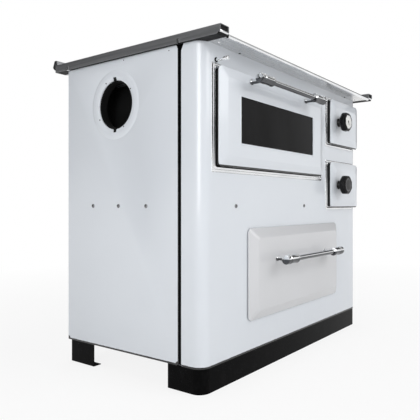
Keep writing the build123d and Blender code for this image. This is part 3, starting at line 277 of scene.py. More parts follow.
def enamel(name, colour, deep, shaded=None):
    """Vitreous enamel: a hard gloss over a faint orange-peel; the last argument says where painted shade
    turns it black.
    """
    f = Finish(name)
    peel = f.noise(260.0, 1.0)
    flow = f.noise(6.0, 2.0)
    cloud = f.noise(2.4, 3.0)
    speck = f.cells(700.0) < 0.035
    tone = f.mix(cloud.between(0.35, 0.75), colour, deep)
    tone = f.mix(speck * 0.25, tone, rgb(*(0.7 * share for share in deep[:3])))
    if shaded:
        tone = f.mix(shaded(f), tone, EDGE_SHADE_BLACK)
    normal = f.bump(peel, 0.00006, 0.3, f.bump(flow, 0.0012, 0.25))
    return f.done(tone, 0.2 + 0.06 * cloud, normal, Coat_Weight=0.3, Coat_Roughness=0.05)


def black_gloss(name, white_flecks=False):
    """Black enamel: deep, glossy and slightly rippled; inside the oven it has white flecks."""
    f = Finish(name)
    flow = f.noise(16.0, 2.0)
    dust = f.noise(48.0, 4.0, 0.65)
    tone = f.mix(dust.between(0.5, 0.85), rgb(0.0016, 0.0016, 0.0018), rgb(0.006, 0.006, 0.0065))
    if white_flecks:
        size = f.noise(120.0, 1.0)
        tone = f.mix((f.cells(210.0) - 0.16 * size) < 0.045, tone, rgb(0.5, 0.5, 0.5))
    normal = f.bump(f.noise(320.0, 1.0), 0.00005, 0.3, f.bump(flow, 0.0006, 0.3))
    return f.done(tone, 0.08 + 0.09 * dust, normal, Specular_IOR_Level=0.04)


def brushed(name, colour, dark, grain, roughness, metal=1.0):
    """Brushed stainless: fine lines along one axis, with broader streaks under them."""
    f = Finish(name)
    across = {"x": (0.02, 1.0, 1.0), "y": (1.0, 0.02, 1.0)}[grain]
    fine = f.noise(900.0, 2.0, 0.6, across)
    streak = f.noise(90.0, 3.0, 0.6, across)
    stain = f.noise(9.0, 3.0)
    tone = f.mix(streak.between(0.3, 0.75), colour, dark)
    tone = f.mix(stain.between(0.5, 0.8) * 0.3, tone, dark)
    normal = f.bump(streak, 0.00008, 0.4, f.bump(fine, 0.00004, 0.6))
    dull = roughness + 0.16 * fine + 0.06 * stain
    return f.done(tone, dull, normal, Metallic=metal, Anisotropic=0.4)


def polished(name, colour, dark, roughness, shaded_below=()):
    """Polished plated metal with faint wiping marks; the bars given get a painted dark reflection on their
    undersides.
    """
    f = Finish(name)
    wipe = f.noise(60.0, 3.0, 0.6, (1.0, 0.2, 1.0))
    haze = f.noise(12.0, 2.0)
    tone = f.mix(haze.between(0.4, 0.8), colour, dark)
    # Below each listed bar's middle the colour goes dark: a painted reflection of a dark floor.
    for (low, high), lift in shaded_below:
        rise = f.axes()[2]
        under = (middle((low.z, high.z)) + lift - rise).between(0.0, 0.0014) * rise.above(low.z - MARGIN)
        tone = f.mix(under, tone, UNDERSIDE_REFLECTION_DARK)
    return f.done(tone, roughness + 0.06 * wipe, f.bump(wipe, 0.00003, 0.2), Metallic=1.0)


def cast_iron(name):
    """Sand-cast iron: a grainy dark skin with small pits."""
    f = Finish(name)
    sand = f.noise(620.0, 3.0, 0.65)
    patch = f.noise(14.0, 4.0, 0.6)
    pits = f.cells(420.0).between(0.0, 0.35)
    tone = f.mix(patch.between(0.3, 0.7), rgb(0.022, 0.022, 0.024), rgb(0.05, 0.049, 0.05))
    tone = f.mix((1.0 - pits) * 0.5, tone, rgb(0.012, 0.012, 0.013))
    normal = f.bump(sand, 0.00035, 0.6, f.bump(pits, 0.0002, 0.4))
    return f.done(tone, 0.62 + 0.2 * patch, normal, Metallic=0.25)


def ground_iron(name, turned):
    """A ground iron top: lines along the plate or turned round the rings, with a heat tint at the rings."""
    f = Finish(name)
    centre = at(*ring_centre, 0.0)
    x, y, _ = f.axes()
    reach = ((x - centre.x) ** 2.0 + (y - centre.y) ** 2.0) ** 0.5
    sand = f.noise(620.0, 3.0, 0.65)
    patch = f.noise(11.0, 4.0, 0.6)
    heat = 1.0 - (reach + 0.03 * patch).between(0.05, 0.2)
    tone = f.mix(patch.between(0.3, 0.7), rgb(0.05, 0.051, 0.055), rgb(0.1, 0.1, 0.103))
    tone = f.mix(heat * 0.65, tone, rgb(0.06, 0.045, 0.042))
    lines = (reach * 5200.0).sine() if turned else f.noise(900.0, 1.0, 0.5, (0.02, 1.0, 1.0))
    normal = f.bump(lines, 0.00004, 0.35, f.bump(sand, 0.00008, 0.25))
    return f.done(tone, 0.36 + 0.2 * patch + 0.1 * heat, normal, Metallic=0.75)


def heat_paint(name, colour):
    """Matt heat-resistant black with a dusty, slightly scorched skin."""
    f = Finish(name)
    grain = f.noise(800.0, 2.0, 0.6)
    dust = f.noise(18.0, 4.0, 0.65)
    dusty = rgb(*(2.2 * c + 0.002 for c in colour[:3]))
    tone = f.mix(dust.between(0.4, 0.8), colour, dusty)
    return f.done(tone, 0.6 + 0.25 * dust, f.bump(grain, 0.00012, 0.5), Specular_IOR_Level=0.25)


def zinc():
    """Zinc-coated sheet: large dull spangles."""
    f = Finish("zinc")
    spangle = f.cells(95.0, "Color")
    grey = f.noise(30.0, 2.0)
    tone = f.mix(spangle, rgb(0.34, 0.35, 0.37), rgb(0.5, 0.51, 0.53))
    dull = 0.34 + 0.15 * grey + 0.1 * spangle
    return f.done(tone, dull, f.bump(grey, 0.0001, 0.2), Metallic=0.9)


def oven_glass():
    """Dark tinted oven glass, with a little smoke film inside."""
    f = Finish("oven glass")
    film = f.noise(5.0, 4.0, 0.6, (1.0, 1.0, 0.4))
    tone = f.mix(film.between(0.4, 0.75), rgb(0.0015, 0.0015, 0.0017), rgb(0.012, 0.012, 0.013))
    return f.done(tone, 0.02 + 0.05 * film, f.bump(film, 0.0004, 0.1), Specular_IOR_Level=0.07)


def moulded(name, colour, roughness):
    """Moulded plastic with a very fine texture and softer worn spots."""
    f = Finish(name)
    grain = f.noise(1500.0, 2.0, 0.6)
    wear = f.noise(40.0, 3.0)
    light = rgb(*(min(1.0, c * 1.25 + 0.006) for c in colour[:3]))
    tone = f.mix(wear.between(0.5, 0.8), colour, light)
    return f.done(tone, roughness + 0.12 * wear, f.bump(grain, 0.00004, 0.5), Specular_IOR_Level=0.18)


def firebrick():
    """Refractory brick: sandy, with light grog and small dark specks."""
    f = Finish("firebrick")
    grog = f.cells(240.0).between(0.05, 0.4)
    blotch = f.noise(20.0, 4.0, 0.6)
    speck = f.cells(520.0) < 0.12
    tone = f.mix(blotch.between(0.3, 0.75), rgb(0.62, 0.5, 0.36), rgb(0.47, 0.37, 0.27))
    tone = f.mix((1.0 - grog) * 0.4, tone, rgb(0.72, 0.63, 0.5))
    tone = f.mix(speck * 0.6, tone, rgb(0.2, 0.16, 0.13))
    normal = f.bump(grog, 0.0006, 0.6, f.bump(blotch, 0.001, 0.3))
    return f.done(tone, 0.9, normal)


def rope_seal():
    """Glass-fibre rope: a braid of slanting strands, by the rope's own map."""
    f = Finish("rope seal")
    along, round_it, _ = f.axes(f.node("ShaderNodeTexCoord").outputs["UV"])
    left = ((along + round_it) * math.tau).sine()
    right = ((along - round_it) * math.tau).sine()
    braid = (left * right) * 0.5 + 0.5
    fuzz = f.noise(1400.0, 2.0)
    tone = f.mix(braid, rgb(0.03, 0.03, 0.03), rgb(0.14, 0.14, 0.135))
    normal = f.bump(braid, 0.0007, 0.9, f.bump(fuzz, 0.0002, 0.5))
    return f.done(tone, 0.9, normal)


ring_x, ring_y, _ = spans("centre_lid")
ring_centre = (middle(ring_x), middle(ring_y))

cool_white = rgb(0.74, 0.775, 0.82), rgb(0.7, 0.735, 0.785)
white = enamel("white enamel", *cool_white)
edge_shaded_white = enamel("white enamel, black edge", *cool_white, panel_edge_shade)
door_gap_shaded_white = enamel("white enamel, doors", *cool_white, door_shadow_gap)
warm_white = enamel("drawer enamel", rgb(0.67, 0.676, 0.695), rgb(0.63, 0.635, 0.652))
black = black_gloss("black enamel")
flecked_black = black_gloss("oven enamel", True)
rail_steel = brushed("rail stainless", rgb(0.29, 0.295, 0.305), rgb(0.16, 0.163, 0.17), "y", 0.2, 0.6)
top_steel = brushed("top stainless", rgb(0.78, 0.78, 0.78), rgb(0.62, 0.62, 0.62), "x", 0.16)
bright = polished("chrome", rgb(0.88, 0.89, 0.9), rgb(0.72, 0.73, 0.75), 0.04, handles)
trim = polished("bright trim", rgb(0.8, 0.81, 0.82), rgb(0.7, 0.71, 0.73), 0.1)
screw_steel = polished("screw steel", rgb(0.3, 0.3, 0.31), rgb(0.2, 0.2, 0.21), 0.16)
plate_iron = ground_iron("ground iron plate", False)
ring_iron = ground_iron("turned iron rings", True)
sand_iron = cast_iron("sand-cast iron")
heat_black = heat_paint("heat paint", rgb(0.014, 0.014, 0.015))
soot = heat_paint("soot", rgb(0.0025, 0.0025, 0.0026))
zinc_sheet = zinc()
dark_glass = oven_glass()
knob_black = moulded("knob black", rgb(0.003, 0.003, 0.0034), 0.2)
dial_white = moulded("dial white", rgb(0.8, 0.8, 0.78), 0.3)
cap_grey = moulded("cap grey", rgb(0.014, 0.014, 0.015), 0.24)
brick = firebrick()
rope = rope_seal()

finish_of_slot = {
    "white_enamel": white,
    "black_enamel": black,
    "black_steel": heat_black,
    "stainless": rail_steel,
    "chrome": bright,
    "cast_iron": sand_iron,
    "zinc_steel": zinc_sheet,
    "oven_glass": dark_glass,
    "black_plastic": knob_black,
    "white_dial": dial_white,
    "grey_cap": cap_grey,
    "firebrick": brick,
    "seal": rope,
}
finish_of_node = {name: finish_of_slot[slot] for name, slot in slot_of_node.items()}
finish_of_node.update(
    top_frame=top_steel,
    rear_upstand=rail_steel,
    hotplate=plate_iron,
    ring_outer=ring_iron,
    ring_inner=ring_iron,
    centre_lid=ring_iron,
    side_panel_left=edge_shaded_white,
    side_panel_right=edge_shaded_white,
    front_panel=edge_shaded_white,
    drawer_front=warm_white,
    oven_box=flecked_black,
    baking_tray=flecked_black,
    smoke_box=soot,
    flue_collar=soot,
    damper_guide=knob_black,
)
for name, node in nodes.items():
    node.data.materials.clear()
    node.data.materials.append(finish_of_node[name])

# ======== pieces


def piece_from(data, name):
    """A new object in the scene, from its mesh, lamp or camera data."""
    made = bpy.data.objects.new(name, data)
    bpy.context.scene.collection.objects.link(made)
    return made


def finished(name, mesh, finish, node, instead=False):
    """Puts a mesh in the scene, riding with a CAD node in its slot; with instead it stands for the node."""
    piece = piece_from(mesh, name)
    mesh.name = name
    mesh.materials.clear()
    mesh.materials.append(finish)
    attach(piece, body_of_node[node])
    if instead:
        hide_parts(node)
    return piece


def mesh_from(bm, sharp_angle):
    """Turns a bmesh into a smooth-shaded mesh, sharp where faces meet at more than the angle."""
    for face in bm.faces:
        face.smooth = True
    limit = math.radians(sharp_angle)
    for edge in bm.edges:
        if len(edge.link_faces) == 2:
            edge.smooth = edge.calc_face_angle(math.pi) < limit
    mesh = bpy.data.meshes.new("mesh")
    bm.to_mesh(mesh)
    bm.free()
    return mesh


def baked(piece):
    """The piece's mesh with its modifiers applied; the piece itself is removed."""
    depsgraph = bpy.context.evaluated_depsgraph_get()
    mesh = bpy.data.meshes.new_from_object(piece.evaluated_get(depsgraph))
    bpy.data.objects.remove(piece)
    return mesh


def cut(mesh, *tools):
    """The mesh with other meshes taken away from it, and its edges marked again."""
    piece = piece_from(mesh, "cut_work")
    cutters = [piece_from(tool, "cutter") for tool in tools]
    for cutter in cutters:
        taking = piece.modifiers.new("take", "BOOLEAN")
        taking.operation = "DIFFERENCE"
        taking.solver = "EXACT"
        taking.object = cutter
    bm = bmesh.new()
    bm.from_mesh(baked(piece))
    for cutter in cutters:
        bpy.data.objects.remove(cutter)
    return mesh_from(bm, 30.0)


def softened(node, width, segments=2, angle=32.0):
    """A copy of a CAD node with its flat faces joined and its edges rounded, which stands for it."""
    bm = bmesh.new()
    bm.from_mesh(nodes[node].data)
    bmesh.ops.remove_doubles(bm, verts=bm.verts, dist=2e-6)
    bmesh.ops.dissolve_limit(bm, angle_limit=math.radians(0.6), verts=bm.verts, edges=bm.edges)
    piece = piece_from(mesh_from(bm, angle), node + "_work")
    bevel = piece.modifiers.new("edge", "BEVEL")
    bevel.width = width * MM
    bevel.segments = segments
    bevel.limit_method = "ANGLE"
    bevel.angle_limit = math.radians(angle)
    bevel.harden_normals = True
    bevel.use_clamp_overlap = True
    return finished(node + "_soft", baked(piece), finish_of_node[node], node, True)


def eased(points, radii, steps=4):
    """A run of points with its inner corners rounded; 0 leaves a corner as it is."""
    points = [Vector(point) for point in points]
    run = [points[0]]
    for before, corner, after, radius in zip(points, points[1:], points[2:], radii):
        if radius == 0:
            run.append(corner)
            continue
        back, on = before - corner, after - corner
        reach = min(radius / math.tan(back.angle(on) / 2), back.length * 0.49, on.length * 0.49)
        start = corner + back.normalized() * reach
        end = corner + on.normalized() * reach
        for step in range(steps + 1):
            t = step / steps
            run.append(start * (1 - t) ** 2 + corner * 2 * t * (1 - t) + end * t**2)
    return [tuple(point) for point in run + [points[-1]]]


def rectangle(x, z, inset, y, radius, steps=6):
    """Points round an upright rectangle, drawn in by the inset, with rounded corners."""
    x, z, radius = grown(x, -inset), grown(z, -inset), max(radius, 0.05)
    run = []
    for across, up, start in ((0, 0, 180), (1, 0, 270), (1, 1, 0), (0, 1, 90)):
        centre_x = x[across] + (radius, -radius)[across]
        centre_z = z[up] + (radius, -radius)[up]
        for step in range(steps + 1):
            turn = math.radians(start + 90 * step / steps)
            run.append((centre_x + radius * math.cos(turn), y, centre_z + radius * math.sin(turn)))
    return run


def circle(axis, centre, along, radius, steps, start=0.0):
    """Points round a circle about an axis that runs through centre, from a start in degrees."""
    run = []
    for step in range(steps):
        turn = math.radians(start) + math.tau * step / steps
        one, two = centre[0] + radius * math.cos(turn), centre[1] + radius * math.sin(turn)
        run.append({"x": (along, one, two), "y": (one, along, two), "z": (one, two, along)}[axis])
    return run


def upright(points, y):
    """Points of (x, z) at one distance from the front."""
    return [(x, y, z) for x, z in points]


def drawn_in(outline, centre, y, radius):
    """A circle in the front plane with one point towards each point of an outline."""
    run = []
    for x, _, z in outline:
        way = Vector((x - centre[0], z - centre[1])).normalized() * radius
        run.append((centre[0] + way.x, y, centre[1] + way.y))
    return run


def by_itself(x, y, z):
    """A point given in millimetres from a small shape's own origin."""
    return Vector((x, y, z)) * MM


class Shape:
    """A mesh under construction; place turns millimetres into a point."""

    def __init__(self, place=at):
        self.bm = bmesh.new()
        self.place = place

    def skin(self, outlines, closed=False):
        """Joins outline to outline; closed joins the last to the first, otherwise both ends are shut."""
        rings = [[self.bm.verts.new(self.place(*point)) for point in outline] for outline in outlines]
        pairs = list(zip(rings, rings[1:])) + ([(rings[-1], rings[0])] if closed else [])
        for first, second in pairs:
            for n, start in enumerate(first):
                m = (n + 1) % len(first)
                self.bm.faces.new((start, first[m], second[m], second[n]))
        if not closed:
            self.bm.faces.new(rings[0])
            self.bm.faces.new(rings[-1])
        return self

    def turned(self, axis, centre, profile, steps=48, closed=False):
        """Turns a profile of (radius, place along the axis) about an axis through centre."""
        circles = [circle(axis, centre, along, radius, steps) for radius, along in profile]
        return self.skin(circles, closed)

    def block(self, x, y, z):
        corners = (x[0], y[0]), (x[1], y[0]), (x[1], y[1]), (x[0], y[1])
        return self.skin([[(a, b, rise) for a, b in corners] for rise in z])

    def mesh(self, sharp_angle=35.0):
        bmesh.ops.recalc_face_normals(self.bm, faces=self.bm.faces)
        return mesh_from(self.bm, sharp_angle)


# ======== what repeats or follows a line


class Grower(Paint):
    """A geometry tree under construction, with named inputs."""

    def __init__(self, name, **inputs):
        super().__init__(bpy.data.node_groups.new(name, "GeometryNodeTree"))
        face = self.tree.interface
        face.new_socket("Geometry", in_out="INPUT", socket_type="NodeSocketGeometry")
        inputs["Material"] = "Material"
        self.ids = {}
        for key, kind in inputs.items():
            made = face.new_socket(key, in_out="INPUT", socket_type="NodeSocket" + kind)
            self.ids[key] = made.identifier
        face.new_socket("Geometry", in_out="OUTPUT", socket_type="NodeSocketGeometry")
        self.start = self.node("NodeGroupInput")

    def given(self, name):
        return self.start.outputs[name]

    def geometry(self, kind, settings=None, **named):
        """Adds a geometry node and gives its first output."""
        return self.node("GeometryNode" + kind, settings, **named).outputs[0]

    def captured(self, geometry, value):
        """The geometry with a number kept on its points, and that number."""
        kept = self.node("GeometryNodeCaptureAttribute", {"domain": "POINT"})
        kept.capture_items.new("FLOAT", "Kept")
        self.feed(kept.inputs[0], geometry)
        self.feed(kept.inputs[1], value)
        return kept.outputs[0], kept.outputs[1]

    def end(self, geometry):
        real = self.geometry("RealizeInstances", Geometry=geometry)
        painted = self.geometry("SetMaterial", Geometry=real, Material=self.given("Material"))
        self.node("NodeGroupOutput", None, [self.geometry("SetShadeSmooth", Geometry=painted)])
        return self

    def grow(self, base, **values):
        """The plain mesh that the tree makes from a base object, which is then removed."""
        modifier = base.modifiers.new("grow", "NODES")
        modifier.node_group = self.tree
        for key, value in values.items():
            modifier[self.ids[key]] = value
        return baked(base)


def studs_tree():
    """Sets one head on every point, each turned a little about the way that it faces."""
    g = Grower("studs", Head="Object", Facing="Vector", Seed="Int")
    head = g.node("GeometryNodeObjectInfo", Object=g.given("Head")).outputs["Geometry"]
    values = {"Points": g.given("Geometry"), "Instance": head, "Rotation": g.given("Facing")}
    turned = g.geometry("InstanceOnPoints", **values)
    values = {"Seed": g.given("Seed"), "Min": (0.0, 0.0, 0.0), "Max": (0.0, 0.0, math.pi)}
    spin = g.node("FunctionNodeRandomValue", {"data_type": "FLOAT_VECTOR"}, **values).outputs[0]
    return g.end(g.geometry("RotateInstances", Instances=turned, Rotation=spin))


def copies_tree():
    """Sets the same shape on every point, unturned."""
    g = Grower("copies", Head="Object")
    head = g.node("GeometryNodeObjectInfo", Object=g.given("Head")).outputs["Geometry"]
    return g.end(g.geometry("InstanceOnPoints", Points=g.given("Geometry"), Instance=head))


def wires_tree():
    """A round wire along each line of the base, repeated by a step."""
    g = Grower("wires", Radius="Float", Count="Int", Step="Vector")
    line = g.geometry("MeshToCurve", Mesh=g.given("Geometry"))
    section = g.geometry("CurvePrimitiveCircle", Radius=g.given("Radius"), Resolution=14)
    one = g.geometry("CurveToMesh", Curve=line, Profile_Curve=section, Fill_Caps=True)
    places = g.geometry("MeshLine", Count=g.given("Count"), Offset=g.given("Step"))
    return g.end(g.geometry("InstanceOnPoints", Points=places, Instance=one))


STRANDS_ROUND = 3.0


def rope_tree():
    """A flattened rope along the base's line, with a map that runs along it and round it."""
    g = Grower("rope", Radius="Float", Flatness="Vector", Strand="Float")
    line = g.geometry("MeshToCurve", Mesh=g.given("Geometry"))
    line, along = g.captured(line, g.node("GeometryNodeSplineParameter").outputs["Length"])
    ring = g.geometry("CurvePrimitiveCircle", Radius=g.given("Radius"), Resolution=12)
    ring, around = g.captured(ring, g.node("GeometryNodeSplineParameter").outputs["Factor"])
    section = g.geometry("Transform", Geometry=ring, Scale=g.given("Flatness"))
    skin = g.geometry("CurveToMesh", Curve=line, Profile_Curve=section)
    strands = g.node("ShaderNodeMath", {"operation": "DIVIDE"}, [along, g.given("Strand")]).outputs[0]
    turns = g.node("ShaderNodeMath", {"operation": "MULTIPLY"}, [around, STRANDS_ROUND]).outputs[0]
    both = g.node("ShaderNodeCombineXYZ", None, [strands, turns]).outputs[0]
    settings = {"data_type": "FLOAT2", "domain": "CORNER"}
    return g.end(g.geometry("StoreNamedAttribute", settings, Geometry=skin, Name="UVMap", Value=both))


studs, copies, wires, ropes = studs_tree(), copies_tree(), wires_tree(), rope_tree()
QUARTER = math.pi / 2
FACING = {
    "front": (QUARTER, 0, 0),
    "left": (0, -QUARTER, 0),
    "right": (0, QUARTER, 0),
    "down": (math.pi, 0, 0),
}


def points_piece(points, closed=None):
    """An object with these points, joined into a line unless closed is None."""
    bm = bmesh.new()
    verts = [bm.verts.new(at(*point)) for point in points]
    if closed is not None:
        for n in range(len(verts) - (not closed)):
            bm.edges.new((verts[n], verts[(n + 1) % len(verts)]))
    mesh = bpy.data.meshes.new("line")
    bm.to_mesh(mesh)
    bm.free()
    return piece_from(mesh, "line")


def set_on(name, head, facing, points, finish, node, instead=False):
    """Heads of one shape on points of a CAD node's surface; with facing None each is a plain copy."""
    head_piece = piece_from(head.copy(), "head")
    values = {"Head": head_piece, "Material": finish}
    if facing:
        mesh = studs.grow(points_piece(points), Facing=FACING[facing], Seed=7, **values)
    else:
        mesh = copies.grow(points_piece(points), **values)
    bpy.data.objects.remove(head_piece)
    return finished(name, mesh, finish, node, instead)


def wire(name, points, closed, radius, finish, node, instead=False, count=1, step=0.0):
    """A round wire through the points, repeated by a step along x."""
    values = {"Radius": radius * MM, "Count": count, "Step": (step * MM, 0.0, 0.0), "Material": finish}
    return finished(name, wires.grow(points_piece(points, closed), **values), finish, node, instead)


def head_mesh(radius, rise, recess=False):
    """A domed head about the origin, facing up; with recess it has a screw's cross."""
    dome = eased([(1.0, 0.0), (1.0, 0.45), (0.86, 0.86), (0.3, 1.0), (0.02, 1.0)], [0.12, 0.2, 0.5], 3)
    profile = [(radius * share, rise * height) for share, height in dome]
    mesh = Shape(by_itself).turned("z", (0.0, 0.0), profile, 28).mesh(40)
    if not recess:
        return mesh
    arms = []
    for wide, long in ((0.16, 0.56), (0.56, 0.16)):
        x, y = grown((0.0, 0.0), radius * wide), grown((0.0, 0.0), radius * long)
        arms.append(Shape(by_itself).block(x, y, (rise * 0.35, rise * 1.75)).mesh())
    return cut(mesh, *arms)


# ======== pressed fronts

SHEET = 1.5
# The pans' rim depth, how far in the bevel and the flat begin, and the corner radii outside and inside.
RIM, BEVEL, FLAT, CORNER_OUTSIDE, CORNER_INSIDE = 3.0, 26.0, 46.0, 13.0, 11.5


def pressed_front(node, window=None, spindle=None):
    """A pressed pan: straight rim, wide eased bevel, flat face, hollow behind, with what goes through it."""
    x, (front, back), z = spans(node)
    rim, inside = back - RIM, front + SHEET
    outer = eased([(0.0, back), (0.0, rim), (BEVEL, front), (FLAT, front)], [2.6, 9.0], 6)
    inner = [(FLAT, inside), (BEVEL + 0.5, inside), (SHEET, rim + 1.2), (SHEET, back)]
    outlines = []
    for section, corner in ((eased(inner, [8.0, 1.8], 6), CORNER_INSIDE), (outer, CORNER_OUTSIDE)):
        outlines += [rectangle(x, z, inset, y, corner) for inset, y in section]
    if window:
        edge = eased([(-6.0, front), (0.0, front), (0.0, inside), (-6.0, inside)], [1.1, 0.0], 3)
        for inset, y in edge:
            outlines.append(rectangle(*window, inset, y, 2.0 - inset * 0.8))
    if spindle:
        last = outlines[-1]
        for radius, y in ((24, front), (5, front), (5, inside), (24, inside)):
            outlines.append(drawn_in(last, spindle, y, radius))
    return Shape().skin(outlines, closed=bool(window or spindle)).mesh(28)


WINDOW_LAP = 3.0
trim_x, _, trim_z = spans("oven_door_trim")
window = grown(trim_x, -WINDOW_LAP), grown(trim_z, -WINDOW_LAP)

# The oven door's lower rim is open where the hinge lugs come through.
BEZEL_WIDE, LUG_IN, LUG_RISE, NOTCH = 13.0, 25.0, 4.0, (-3.9, 12.9)
hinge_rise = spans("oven_door_skin")[2][0] + LUG_RISE
opening_x = grown(spans("oven_bezel")[0], -BEZEL_WIDE)
notches = []
for side, lug in ((1, opening_x[0] + LUG_IN), (-1, opening_x[1] - LUG_IN)):
    span = sorted(lug + side * reach for reach in NOTCH)
    notches.append(Shape().block(span, (-13.0, 0.0), (hinge_rise - 6.0, hinge_rise)).mesh())
oven_front = cut(pressed_front("oven_door_skin", window=window), *notches)
finished("oven_door_front", oven_front, door_gap_shaded_white, "oven_door_skin", True)

# The ash door's lower rim has four air inlets.
INLETS, INLET_PITCH, INLET_HALF, INLET_Y = 4, 34.0, 12.0, (-13.4, -11.6)
inlet_x, _, inlet_z = spans("ash_door_skin")
inlets = []
for n in range(INLETS):
    centre = middle(inlet_x) + (n - (INLETS - 1) / 2) * INLET_PITCH
    span = grown((centre, centre), INLET_HALF)
    inlets.append(Shape().block(span, INLET_Y, (inlet_z[0] - 1.0, inlet_z[0] + 2.5)).mesh())
knob_x = middle(spans("fire_knob")[0])
for door, holes in (("fire", []), ("ash", inlets)):
    node = door + "_door_skin"
    mesh = pressed_front(node, spindle=(knob_x, middle(spans(door + "_knob")[2])))
    finished(door + "_door_front", cut(mesh, *holes) if holes else mesh, door_gap_shaded_white, node, True)
finished("drawer_pressed_front", pressed_front("drawer_front"), warm_white, "drawer_front", True)

# ======== door frames, window frame and seals


def frame_piece(name, node, finish, section, corner):
    """A frame in a node's place, by a section of (inset, y); corner gives the corner radius at an inset."""
    x, _, z = spans(node)
    outlines = [rectangle(x, z, inset, y, corner(inset)) for inset, y in section]
    finished(name, Shape().skin(outlines, closed=True).mesh(30), finish, node, True)


# The bezel's section: outer flange, groove, inner lip.
bezel_section = [(0.0, 0.0), (0.0, -1.2), (2.6, -3.5), (6.2, -3.5), (7.0, -2.2), (8.4, -2.2)]
bezel_section += [(9.6, -3.3), (12.6, -3.3), (BEZEL_WIDE, 0.0)]
bezel_section = eased(bezel_section, [0.5, 0.7, 0.5, 0.3, 0.3, 0.4, 0.5], 2)
for door in DOORS:
    frame_piece(door + "_frame", door + "_bezel", trim, bezel_section, lambda inset: 1.2 + 0.5 * inset)
trim_section = [(0.0, -20.0), (0.0, -20.7), (0.8, -21.2), (4.0, -21.2), (4.0, -20.0)]
trim_section = eased(trim_section, [0.3, 0.4, 0.5], 2)
frame_piece("window_frame", "oven_door_trim", white, trim_section, lambda inset: 4.5 - 0.7 * inset)

ROPE_RADIUS, ROPE_CORNER, STRAND = 3.5, 14.0, 6.0
for door in DOORS:
    node = door + "_door_gasket"
    x, y, z = spans(node)
    flatness = (y[1] - y[0]) / 2 / ROPE_RADIUS
    line = rectangle(x, z, ROPE_RADIUS, middle(y), ROPE_CORNER)
    values = {"Radius": ROPE_RADIUS * MM, "Flatness": (1.0, flatness, 1.0), "Strand": STRAND * MM}
    mesh = ropes.grow(points_piece(line, True), Material=rope, **values)
    finished(door + "_rope", mesh, rope, node, True)

# ======== handles and knobs

GRIP_RADIUS, GRIP_END, POST_IN, BAR_OUT = 7.5, 50.0, 29.0, 13.0
# A ferrule's section of (radius, place from the tip): end, groove, bead, barrel, ring at the grip.
ferrule = [(9.5, 0.0), (12.7, 0.0), (12.7, 12.0), (11.9, 12.6), (11.9, 14.4), (13.0, 15.0), (13.0, 21.0)]
ferrule += [(12.3, 21.8), (12.3, 53.0), (12.9, 53.6), (12.9, 57.0), (9.0, 58.0), (GRIP_RADIUS, 58.0)]
ferrule = eased(ferrule, [1.8, 0.6, 0.4, 0.4, 0.8, 0.8, 0.4, 0.4, 0.5, 1.0, 0.4], 3)


def handle(node):
    """A bar between two turned ferrules, each on a post with a foot ring."""
    x, (y_front, y_foot), z = spans(node)
    rise, out = middle(z), y_front + BAR_OUT
    shape = Shape()
    shape.turned("x", (out, rise), [(GRIP_RADIUS, end) for end in grown(x, -GRIP_END)], 40)
    post = [(6.2, out + 6.0), (6.2, y_foot - 4.0), (8.0, y_foot - 1.8), (8.0, y_foot)]
    post = eased(post, [4.0, 0.6], 4)
    for tip, way in ((x[0], 1), (x[1], -1)):
        shape.turned("x", (out, rise), [(radius, tip + way * along) for radius, along in ferrule], 48)
        shape.turned("y", (tip + way * POST_IN, rise), post, 36)
    finished(node + "_turned", shape.mesh(30), bright, node, True)


handle("oven_handle")
handle("drawer_handle")


def octagon(centre, y, radius, corner, steps=4):
    """A regular octagon with rounded corners in the front plane, flats up and down."""
    run = []
    inner = radius - corner / math.cos(math.pi / 8)
    for n in range(8):
        turn = math.radians(22.5 + 45 * n)
        x, z = centre[0] + inner * math.cos(turn), centre[1] + inner * math.sin(turn)
        for step in range(steps + 1):
            swing = turn + math.radians(45 * (step / steps - 0.5))
            run.append((x + corner * math.cos(swing), y, z + corner * math.sin(swing)))
    return run


KNOB_RADIUS, FACET_CORNER, RECESS_DEEP = 33.0, 6.0, 2.5


def knob(node, name):
    """A faceted knob on a flared neck, with a round recess in its face; returns the recess's middle and y."""
    x, (face, foot), z = spans(node)
    centre, seat = (middle(x), middle(z)), face + RECESS_DEEP
    pattern = octagon(centre, 0, KNOB_RADIUS, FACET_CORNER)
    neck = eased([(15.5, foot), (11.6, foot - 8.0), (11.0, face + 22.9)], [12.0], 5)
    head = [(24.0, face + 23.0), (28.5, face + 23.0), (KNOB_RADIUS, face + 17.5), (KNOB_RADIUS, face + 5.0)]
    head = eased(head + [(28.0, face), (26.2, face)], [2.0, 3.0, 3.0, 2.0], 3)
    recess = eased([(25.0, face), (24.0, face), (24.0, seat), (10.0, seat)], [0.5, 0.3], 3)
    outlines = [drawn_in(pattern, centre, y, radius) for radius, y in neck]
    outlines += [octagon(centre, y, radius, FACET_CORNER) for radius, y in head]
    outlines += [drawn_in(pattern, centre, y, radius) for radius, y in recess]
    finished(name, Shape().skin(outlines).mesh(24), knob_black, node, True)
    return centre, seat


def seated(shape, place, section, radii, easing=3, around=48, closed=False):
    """Adds what is turned about a knob's middle, by a section of (radius, height over its recess)."""
    centre, seat = place
    section = eased([(radius, seat - height) for radius, height in section], radii, easing)
    return shape.turned("y", centre, section, around, closed)


dial = knob("fire_knob", "fire_door_knob")
_, ash_seat = knob("ash_knob", "ash_door_knob")
disc = seated(Shape(), dial, [(21.2, 0.0), (21.2, 1.0), (6.0, 1.35), (0.2, 1.35)], [0.3, 8.0])
finished("dial_face", disc.mesh(), dial_white, "fire_dial", True)
ring = seated(Shape(), dial, [(23.7, 0.0), (23.7, 2.0), (21.3, 2.0), (21.3, 0.0)], [0.6, 0.9], closed=True)
finished("dial_ring", ring.mesh(), bright, "fire_dial")

